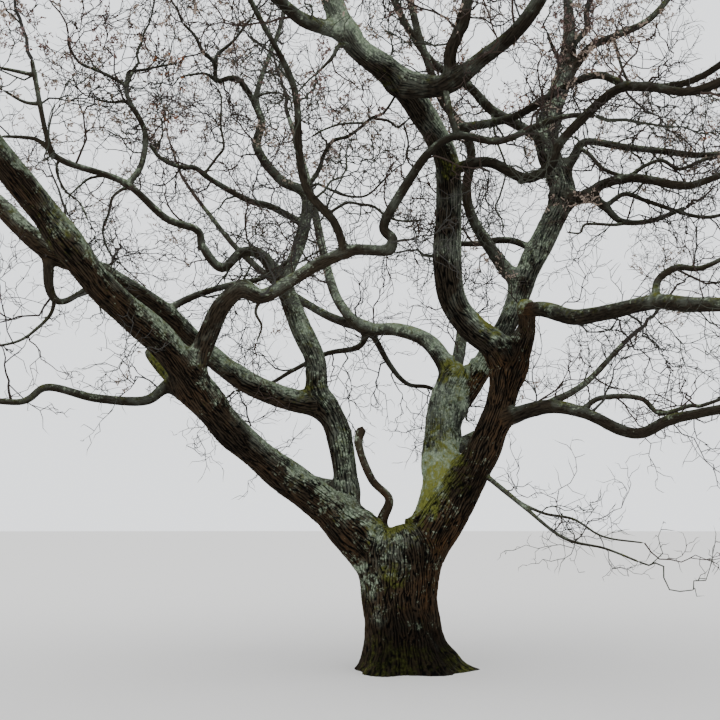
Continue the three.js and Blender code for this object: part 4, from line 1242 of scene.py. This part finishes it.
for groupName, members in skinGroups.items():
    meshes = [limbSkin(skinByName[name], numbers[name]) for name in members]
    nodes = [name for name in members if name in limbByName]
    nodes += [skinByName[name]["also"] for name in members if "also" in skinByName[name]]
    total += makePiece(groupName + "Bark", meshes, [oakBark], nodes)
print("bark made:", total, "triangles")


# Twigs: the source's rule for the stem, branches and twigs of each mass, then finer shoots on them.

growth = {
    "massSeed": 90, "branchSpacing": 0.480, "stemWander": 0.2, "lift": 0.07, "goldenTurn": 2.39996,
    "rootSink": 0.16, "shootShare": 0.5, "tipShare": 0.2, "massWidth": 0.55, "cellMargin": 0.045,
    "limbClearance": 0.035, "groundClearance": 0.9, "gap": 0.00035, "spotSpacing": 0.06,
    "spotSamples": 201,
}
branchKind = {"share": 0.58, "spread": 0.95, "wander": 0.3, "steps": 3, "finest": 0.020}
twigKind = {"share": 0.46, "spread": 0.85, "wander": 0.22, "steps": 1, "finest": 0.009}


def tangentAt(points, share):
    ends = alongRoute(points, np.array([share - 0.0001, share + 0.0001]))
    return unit(ends[1] - ends[0])


def limbSpots():
    places, radii = [], []
    for limb in limbs:
        dense = alongRoute(limb["points"], np.linspace(0, 1, growth["spotSamples"]))
        length = np.linalg.norm(np.diff(dense, axis=0), axis=1).sum()
        shares = np.linspace(0, 1, math.ceil(length / growth["spotSpacing"]) + 1)
        places.append(alongRoute(limb["points"], shares))
        radii.append(radiusAt(limb["thick"], shares))
    return np.vstack(places), np.concatenate(radii)


obstacles, obstacleRadii = limbSpots()
bearers = [limb for limb in limbs if limb["reach"]]


def massSpine(limb):
    heading = tangentAt(limb["points"], 1)
    foot = limb["points"][-1] + heading * growth["gap"]
    return {"foot": foot, "heading": heading, "run": heading * limb["reach"],
            "width": limb["reach"] * growth["massWidth"]}


spines = [massSpine(limb) for limb in bearers]
spineFeet = np.array([spine["foot"] for spine in spines])
spineRuns = np.array([spine["run"] for spine in spines])


def spineDistances(spot):
    share = np.clip(((spot - spineFeet) * spineRuns).sum(1) / (spineRuns * spineRuns).sum(1), 0, 1)
    return np.linalg.norm(spot - spineFeet - spineRuns * share[:, None], axis=1)


def isFree(number, spot, girth):
    if spot[2] < growth["groundClearance"]:
        return False
    away = spineDistances(spot)
    own = away[number]
    away[number] = math.inf
    if own > spines[number]["width"] or away.min() < own + growth["cellMargin"]:
        return False
    off = np.linalg.norm(obstacles - spot, axis=1)
    return bool(np.all(off > obstacleRadii + girth + growth["limbClearance"]))


def walk(draw, foot, heading, steps, length, wander):
    joints, headings = [foot], [heading]
    way = heading
    for _ in range(steps):
        push = np.array([draw() - 0.5, draw() - 0.5, draw() - 0.5 + growth["lift"]])
        way = unit(way + push * wander * 2)
        joints.append(joints[-1] + way * (length / steps))
        headings.append(way)
    return {"joints": np.array(joints), "headings": np.array(headings)}


def sideHeading(along, turn, spread):
    upright = np.array([0.0, 0, 1]) if abs(along[2]) < 0.9 else np.array([1.0, 0, 0])
    side = unit(np.cross(upright, along))
    across = np.cross(along, side)
    out = side * math.cos(turn) + across * math.sin(turn)
    return unit(along * math.cos(spread) + out * math.sin(spread))


def thicknessAt(twig, share):
    return twig["thick"] * (1 - share * (1 - growth["tipShare"]))


def shootsOn(number, parent, kind):
    shoots = []
    count = len(parent["joints"]) - 1
    for i in range(1, count + 1):
        seed = seedOf(parent["seed"], i)
        draw = drawsFrom(seed)
        turn = parent["turn"] + i * growth["goldenTurn"] + draw()
        heading = sideHeading(parent["headings"][i], turn, kind["spread"] * (0.8 + 0.4 * draw()))
        reach = parent["reach"] * kind["share"] * (1.15 - 0.5 * i / count) * (0.8 + 0.4 * draw())
        foot = parent["joints"][i] + (parent["joints"][i - 1] - parent["joints"][i]) * growth["rootSink"]
        shoot = walk(draw, foot, heading, kind["steps"], reach, kind["wander"])
        shoot["thick"] = max(kind["finest"], thicknessAt(parent, i / count) * growth["shootShare"])
        joints = shoot["joints"]
        tests = np.vstack([joints[1:], (joints[1:] + joints[:-1]) / 2])
        if not all(isFree(number, spot, shoot["thick"] / 2) for spot in tests):
            continue
        shoot.update(seed=seed, reach=reach, turn=turn)
        shoots.append(shoot)
    return shoots


def massTwigs(number):
    limb, spine = bearers[number], spines[number]
    seed = seedOf(growth["massSeed"], number)
    draw = drawsFrom(seed)
    steps = int(limb["reach"] / growth["branchSpacing"] + 0.5)
    stem = walk(draw, spine["foot"], spine["heading"], steps, limb["reach"], growth["stemWander"])
    stem.update(seed=seed, reach=limb["reach"], turn=draw() * 6, thick=float(limb["thick"][-1]))
    branches = shootsOn(number, stem, branchKind)
    twigs = [twig for branch in branches for twig in shootsOn(number, branch, twigKind)]
    return stem, branches, twigs


# Finer shoots: crooked and long, closer together on thin wood. Sizes in metres.
fineKinds = [
    {"spacing": 0.17, "length": (0.40, 0.95), "steps": 6, "sway": 0.62, "thick": 0.0150, "spread": 0.85},
    {"spacing": 0.090, "length": (0.12, 0.34), "steps": 3, "sway": 0.70, "thick": 0.0090, "spread": 0.85},
]
fine = {
    "sides": 3, "tip": 0.0055, "start": 0.12,   # start: share of a shoot that is bare of finer ones
    "lift": 0.04, "thickShare": 0.7,            # of the thickness of what bears it
    "zigzag": 1.6, "limbGap": 0.02,
}
# branchlets straight from the limbs
branchlet = {
    "spacing": 0.30, "length": (0.6, 1.5), "steps": 10, "sway": 0.60, "lift": 0.06,
    "thick": (0.014, 0.030), "thickShare": 0.5, "tip": 0.005, "sides": 5,
    "bareStart": 0.45, "bareEnd": 0.05,         # stretches of a limb without any
    "thickestLimb": 0.17, "thickestEnd": 0.09,
    "leastRise": 0.1, "bareBelow": 3.4,         # on low limbs, none that hang
    "spread": (0.9, 0.4), "rootShare": 0.3,     # how far the foot is moved out of the limb's middle
}

limbTree = kdtree.KDTree(len(obstacles))
for i, place in enumerate(obstacles):
    limbTree.insert(place, i)
limbTree.balance()
lowEdge = [value + 0.01 for value in cadLow]
highEdge = [value - 0.01 for value in cadHigh]
lowEdge[2] = growth["groundClearance"]


def inReach(joint):
    return all(low < value < high for low, value, high in zip(lowEdge, joint, highEdge))


def clearOfLimbs(joint):
    _, index, off = limbTree.find(joint)
    return off > obstacleRadii[index] + fine["limbGap"]


def unitOf(x, y, z):
    length = math.sqrt(x * x + y * y + z * z) or 1.0
    return x / length, y / length, z / length


# joints of a shoot that zigzags about a heading that drifts; None where it would leave the crown
def zigzag(draw, foot, heading, steps, length, sway, lift):
    joints = [tuple(foot)]
    x, y, z = heading
    step, zig = length / steps, fine["zigzag"]
    for i in range(steps):
        bendX, bendY, bendZ = (draw() - 0.5) * sway, (draw() - 0.5) * sway, (draw() - 0.5) * sway
        x, y, z = unitOf(x + bendX, y + bendY, z + bendZ + lift)
        wayX, wayY, wayZ = unitOf(x + bendX * zig, y + bendY * zig, z + bendZ * zig)
        last = joints[-1]
        joints.append((last[0] + wayX * step, last[1] + wayY * step, last[2] + wayZ * step))
        if not inReach(joints[-1]) or (i > 0 and not clearOfLimbs(joints[-1])):
            return None
    return np.array(joints)


# a coarse twig's straight joints become a crooked curve through the same points
def crooked(twig, stretches, sway):
    joints = twig["joints"]
    if len(joints) == 2:
        joints = np.vstack([joints[0], joints.mean(0), joints[1]])
    count = (len(joints) - 1) * stretches
    smooth = alongRoute(joints, np.linspace(0, 1, count + 1))
    draw = drawsFrom(seedOf(twig["seed"], 77))
    for i in range(1, count):
        if i % stretches:
            smooth[i] += np.array([draw() - 0.5, draw() - 0.5, draw() - 0.5]) * sway
    return smooth


# shoots along a curve, from a share of it on
def fineShoots(curve, thick, seed, kind, start):
    steps = np.linalg.norm(np.diff(curve, axis=0), axis=1)
    lengths = np.append(0, np.cumsum(steps))
    draw = drawsFrom(seed)
    found = []
    run = lengths[-1] * start + kind["spacing"] * draw()
    turn = draw() * 6
    number = 0
    while run < lengths[-1]:
        number += 1
        share = run / lengths[-1]
        step = max(min(int(np.searchsorted(lengths, run)), len(steps)) - 1, 0)
        along = (curve[step + 1] - curve[step]) / max(steps[step], 1e-6)
        foot = curve[step] + along * (run - lengths[step])
        turn += growth["goldenTurn"] + draw()
        heading = sideHeading(along, turn, kind["spread"] * (0.7 + 0.6 * draw()))
        low, high = kind["length"]
        length = (low + (high - low) * draw()) * (1.15 - 0.45 * share)
        shootSeed = seedOf(seed, number)
        draws = drawsFrom(shootSeed)
        joints = zigzag(draws, foot, heading, kind["steps"], length, kind["sway"], fine["lift"])
        if joints is not None:
            found.append((joints, min(kind["thick"], thick * fine["thickShare"]), shootSeed))
        run += kind["spacing"] * (0.6 + 0.8 * draw())
    return found


# grows a twig with its finer shoots into a list of runs: curve, thickness, tip, sides, tone
def growSpray(runs, leafy, curve, thick, tip, seed, sides, start, tone, level=0):
    runs.append((curve, thick, tip, sides, tone))
    if level == len(fineKinds):
        return
    if level == 1 and holdsLeaves(curve, seed):
        leafy.append((curve, seed))
    for joints, width, shootSeed in fineShoots(curve, thick, seedOf(seed, 5), fineKinds[level], start):
        if level == 1 and leafy and leafy[-1][1] == seed:
            leafy.append((joints, seed))
        growSpray(runs, leafy, joints, width, fine["tip"], shootSeed, fine["sides"], fine["start"], tone,
                  level + 1)


leaf = {
    "length": (0.026, 0.052),
    "share": 0.17,              # share of shoots that still hold leaves, away from the clusters
    "clusterShare": 0.85,
    "patchSize": 0.8,
    "patchStrength": 4.5,       # how far leaves keep to the patches
    "fewBelow": 4.6,            # height with few leaves below it, and the rise from there to most of them
    "rise": 2.4,
    "lowShare": 0.04,
    "spacing": 0.075,
    "atTip": (4, 10),
    "tipStretch": 0.10,
    "loose": 0.6,               # how far leaves turn from the way of the shoot
    "looseAtTip": 0.9,
    "droop": 0.3,
    "stalk": 0.006,
    "tones": 3.25,              # the last of the four colours is rare
    "fold": 0.7,                # how far each half stands up from the midrib
    "curl": 0.5,
}

# clusters of withered leaves seen in the photograph: place in metres, radius
leafClusters = [
    ((-3.1, -1.2, 6.5), 0.25), ((-3.5, -1.0, 5.8), 0.20), ((-2.7, 0.6, 6.5), 0.33), ((-0.6, -2.3, 5.6), 0.38),
    ((2.1, 1.6, 7.8), 0.42), ((-2.5, -0.3, 5.2), 0.18), ((1.8, -0.4, 3.9), 0.18), ((-3.3, -1.5, 3.1), 0.16),
    ((2.6, 1.6, 7.8), 0.36), ((3.4, 1.3, 7.5), 0.30), ((1.4, 0.9, 7.1), 0.42), ((2.6, -2.0, 5.4), 0.16),
    ((-0.8, 0.9, 6.9), 0.42), ((-3.8, -1.3, 6.4), 0.30), ((-1.7, 0.7, 6.1), 0.16), ((3.3, 1.5, 7.8), 0.25),
    ((0.1, -1.5, 4.2), 0.14), ((-2.8, -0.4, 6.7), 0.26), ((-2.3, 0.8, 7.2), 0.34), ((2.2, -1.5, 5.7), 0.20),
    ((-0.4, 0.0, 6.2), 0.22), ((0.1, 0.1, 6.0), 0.18),
]


# leaves hold on in patches of the crown, more of them high up
def holdsLeaves(curve, seed):
    end = curve[-1]
    if any(np.linalg.norm(end - np.array(place)) < radius for place, radius in leafClusters):
        share = leaf["clusterShare"]
    else:
        patch = lumps(curve[-1:], leaf["patchSize"], 71)[0]
        high = min(1.0, max(leaf["lowShare"], (end[2] - leaf["fewBelow"]) / leaf["rise"]))
        share = leaf["share"] * high * max(0, 1 + leaf["patchStrength"] * patch)
    return drawsFrom(seedOf(seed, 9))() < share


# the coarse twigs of a mass: sway, thickness at the tip and sides for the stem, branches and twigs
coarse = {
    "stretches": 4, "start": 0.08,
    "stemSway": 0.06, "stemTipShare": 0.16, "stemSides": 9,
    "sway": 0.07, "branchTip": 0.008, "branchSides": 6, "twigTip": 0.005, "twigSides": 4,
}
twigTones = 4
boughTwigs = []
for number, limb in enumerate(bearers):
    runs, leafy = [], []
    stem, branches, twigs = massTwigs(number)
    stemTip = stem["thick"] * coarse["stemTipShare"]
    sprays = [(stem, coarse["stemSway"], stemTip, coarse["stemSides"], number)]
    for parts, tip, sides in ((branches, coarse["branchTip"], coarse["branchSides"]),
                              (twigs, coarse["twigTip"], coarse["twigSides"])):
        sprays += [(part, coarse["sway"], tip, sides, part["seed"]) for part in parts]
    for part, sway, tip, sides, toneSeed in sprays:
        curve = crooked(part, coarse["stretches"], sway)
        growSpray(runs, leafy, curve, part["thick"], tip, part["seed"], sides, coarse["start"],
                  toneSeed % twigTones)
    boughTwigs.append((limb["name"], runs, leafy))

# branchlets on the thin stretches of the limbs, and one on the end of each thin limb
for index, skin in enumerate(skins):
    draw = drawsFrom(4000 + index)
    runs, leafy, places = [], [], []
    run = branchlet["bareStart"]
    while run < skin["length"] - branchlet["bareEnd"]:
        places.append(run)
        run += branchlet["spacing"] * (0.5 + draw())
    for run in places + [skin["length"]]:
        share = float(skin["shareAt"](run))
        thick = float(radiusAt(skin["thick"], share)) * 2
        atEnd = run == skin["length"]
        buried = atEnd and (skin["reach"] or thick > branchlet["thickestEnd"])
        if thick > branchlet["thickestLimb"] or buried or skin["name"] in bareLimbs:
            continue
        middle, along = alongRoute(skin["points"], np.array([share]))[0], tangentAt(skin["points"], share)
        narrow, wide = branchlet["spread"]
        heading = along if atEnd else sideHeading(along, draw() * 6.3, narrow + wide * draw())
        low, high = branchlet["length"]
        length = low + (high - low) * draw()
        least, most = branchlet["thick"]
        width = thick if atEnd else min(thick * branchlet["thickShare"], least + (most - least) * draw())
        seed = seedOf(7000 + index, int(run * 1000))
        foot = middle if atEnd else middle + heading * thick * branchlet["rootShare"]
        if heading[2] < branchlet["leastRise"] and middle[2] < branchlet["bareBelow"] and skin["reach"]:
            continue
        joints = zigzag(drawsFrom(seed), foot, heading, branchlet["steps"], length, branchlet["sway"],
                        branchlet["lift"])
        if joints is not None:
            growSpray(runs, leafy, joints, width, branchlet["tip"], seed, branchlet["sides"],
                      coarse["start"], seed % twigTones)
    boughTwigs.append((None, runs, leafy))
print("twigs grown:", sum(len(runs) for _, runs, _ in boughTwigs))


# tubes round many runs at once: a ring at each joint, a closed foot and a point at the tip
def tubes(runs):
    spots, faces, tones = [], [], []
    base = 0
    sorts = {}
    for run in runs:
        sorts.setdefault((len(run[0]), run[3]), []).append(run)
    for (joints, sides), group in sorts.items():
        curves = np.array([run[0] for run in group])
        thick = np.array([[run[1]] for run in group])
        tip = np.array([[run[2]] for run in group])
        share = np.linspace(0, 1, joints)[None, :]
        radii = (thick + (tip - thick) * share) / 2
        along = unit(np.gradient(curves, axis=1))
        first = along[:, 0]
        upright = np.where(np.abs(first[:, 2:3]) < 0.8, [[0.0, 0, 1]], [[1.0, 0, 0]])
        side = unit(np.cross(along, upright[:, None, :]))
        across = np.cross(along, side)
        angles = np.arange(sides) / sides * 2 * math.pi
        rings = (curves[:, :-1, None] + radii[:, :-1, None, None] * (
            side[:, :-1, None] * np.cos(angles)[None, None, :, None]
            + across[:, :-1, None] * np.sin(angles)[None, None, :, None]))
        count = len(group)
        ringSpots = (joints - 1) * sides
        withTips = np.concatenate([rings.reshape(count, -1, 3), curves[:, -1:]], axis=1)
        spots.append(withTips.reshape(-1, 3))
        pattern = []
        for row in range(joints - 2):
            for k in range(sides):
                a, b = row * sides + k, row * sides + (k + 1) % sides
                pattern += [(a, b, b + sides), (a, b + sides, a + sides)]
        last = (joints - 2) * sides
        pattern += [(last + k, last + (k + 1) % sides, ringSpots) for k in range(sides)]
        pattern += [(0, k + 1, k) for k in range(1, sides - 1)]
        pattern = np.array(pattern)
        starts = base + np.arange(count) * (ringSpots + 1)
        faces.append((starts[:, None, None] + pattern).reshape(-1, 3))
        tones.append(np.repeat([run[4] for run in group], len(pattern)))
        base += count * (ringSpots + 1)
    return np.concatenate(spots), np.concatenate(faces), np.concatenate(tones)


def meshFrom(name, spots, faces, tones):
    mesh = bpy.data.meshes.new(name)
    mesh.vertices.add(len(spots))
    mesh.vertices.foreach_set("co", spots.astype(np.float32).ravel())
    mesh.loops.add(len(faces) * 3)
    mesh.loops.foreach_set("vertex_index", faces.astype(np.int32).ravel())
    mesh.polygons.add(len(faces))
    mesh.polygons.foreach_set("loop_start", np.arange(0, len(faces) * 3, 3, dtype=np.int32))
    mesh.polygons.foreach_set("material_index", tones.astype(np.int32))
    mesh.update(calc_edges=True)
    mesh.validate()
    return mesh


# Young oak twigs, smooth thin bark: a plain tone for each spray, dark against the sky.
twigColours = {
    "twigUmber": "#2f2823",
    "twigGrey": "#3b3a36",
    "twigOlive": "#383a30",
    "twigBrown": "#392d26",
}


def plainMaterial(name, colour, roughness):
    material = bpy.data.materials.new(name)
    material.use_nodes = True
    shader = material.node_tree.nodes["Principled BSDF"]
    shader.inputs["Base Color"].default_value = linear(colour)
    shader.inputs["Roughness"].default_value = roughness
    shader.inputs["Specular IOR Level"].default_value = 0.25
    return material


twigMaterials = [plainMaterial(name, colour, 0.8) for name, colour in twigColours.items()]

mostTriangles = 190000
pile, pileNodes, pieceNumber, twigTotal = [], [], 1, 0


def runTriangles(run):
    return (len(run[0]) - 2) * run[3] * 2 + run[3] * 2 - 2


def flushPile():
    global pile, pileNodes, pieceNumber, twigTotal
    mesh = meshFrom("twigs", *tubes(pile))
    twigTotal += makePiece(f"twigs{pieceNumber}", [mesh], twigMaterials, pileNodes)
    pile, pileNodes = [], []
    pieceNumber += 1


for limbName, runs, _ in boughTwigs:
    if pile and sum(map(runTriangles, pile)) + sum(map(runTriangles, runs)) > mostTriangles:
        flushPile()
    pile += runs
    if limbName:
        pileNodes.append(limbName + "_twigs")
flushPile()
print("twigs made:", twigTotal, "triangles")


# Withered leaves: lobed, curled and folded along the midrib, in small clusters on a few of the tips.

# half of the outline: across and along, as shares of the length
leafEdge = [(0.20, 0.30), (0.11, 0.44), (0.27, 0.66)]
leafRib = [0.0, 0.5, 1.0]
leafStrip = [(0, 0), (1, 0), (1, 1), (1, 2), (2, 2)]  # rib point, edge point


def leafShape():
    def bend(along):
        return leaf["curl"] * (0.25 - (along - 0.5) ** 2)

    spots = [(0, along, bend(along)) for along in leafRib]
    faces = []
    for side in (-1, 1):
        first = len(spots)
        spots += [(side * across, along, bend(along) + leaf["fold"] * across) for across, along in leafEdge]
        for (ribA, edgeA), (ribB, edgeB) in zip(leafStrip, leafStrip[1:]):
            face = (ribA, first + edgeA, first + edgeB if ribA == ribB else ribB)
            faces.append(face if side > 0 else face[::-1])
    return np.array(spots), np.array(faces)


leafSpots, leafFaces = leafShape()

# Dead oak leaves, dry and dull: papery browns, paler than the twigs, lightened further with painted light
# shining through them; a few of them rust.
backlitLeafColours = {
    "leafRose": "#9c8785",
    "leafTan": "#a08f82",
    "leafUmber": "#7b655f",
    "leafRust": "#a36b45",
}
leafMaterials = [plainMaterial(name, colour, 0.75) for name, colour in backlitLeafColours.items()]
leafPlaces, leafTurns, leafTones = [], [], []
rng = np.random.default_rng(11)


def hangLeaf(place, heading, loose, tone):
    along = unit(heading + rng.normal(0, loose, 3) + np.array([0, 0, -leaf["droop"]]))
    side = unit(np.cross(along, rng.normal(0, 1, 3)))
    least, most = leaf["length"]
    size = least + (most - least) * rng.random()
    leafTurns.append(np.array([side, along, np.cross(side, along)]) * size)
    leafPlaces.append(place + along * leaf["stalk"])
    leafTones.append(tone)


for _, _, leafy in boughTwigs:
    for curve, seed in leafy:
        tone = int(drawsFrom(seedOf(seed, 15))() * leaf["tones"])
        heading = unit(curve[-1] - curve[-2])
        for _ in range(int(rng.integers(*leaf["atTip"]))):
            place = curve[-1] - heading * leaf["tipStretch"] * rng.random()
            hangLeaf(place, heading, leaf["looseAtTip"], tone)
        for before, joint in zip(curve[1:], curve[2:]):
            way = joint - before
            length = np.linalg.norm(way)
            for _ in range(int(length / leaf["spacing"] + rng.random())):
                hangLeaf(before + way * rng.random(), way / length, leaf["loose"], tone)
leafTurns, leafPlaces = np.array(leafTurns), np.array(leafPlaces)
allLeaves = leafPlaces[:, None] + np.einsum("vi,nij->nvj", leafSpots, leafTurns)
keep = (allLeaves > np.array(cadLow)).all((1, 2)) & (allLeaves < np.array(cadHigh)).all((1, 2))
allLeaves, leafTones = allLeaves[keep], np.array(leafTones)[keep]
perPiece = mostTriangles // len(leafFaces)
for start in range(0, len(allLeaves), perPiece):
    some = allLeaves[start:start + perPiece]
    faces = (np.arange(len(some))[:, None, None] * len(leafSpots) + leafFaces).reshape(-1, 3)
    tones = np.repeat(leafTones[start:start + perPiece], len(leafFaces))
    mesh = meshFrom("leaves", some.reshape(-1, 3), faces, tones)
    makePiece(f"leaves{start // perPiece + 1}", [mesh], leafMaterials, [])
print("leaves made:", len(allLeaves))

low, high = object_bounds()
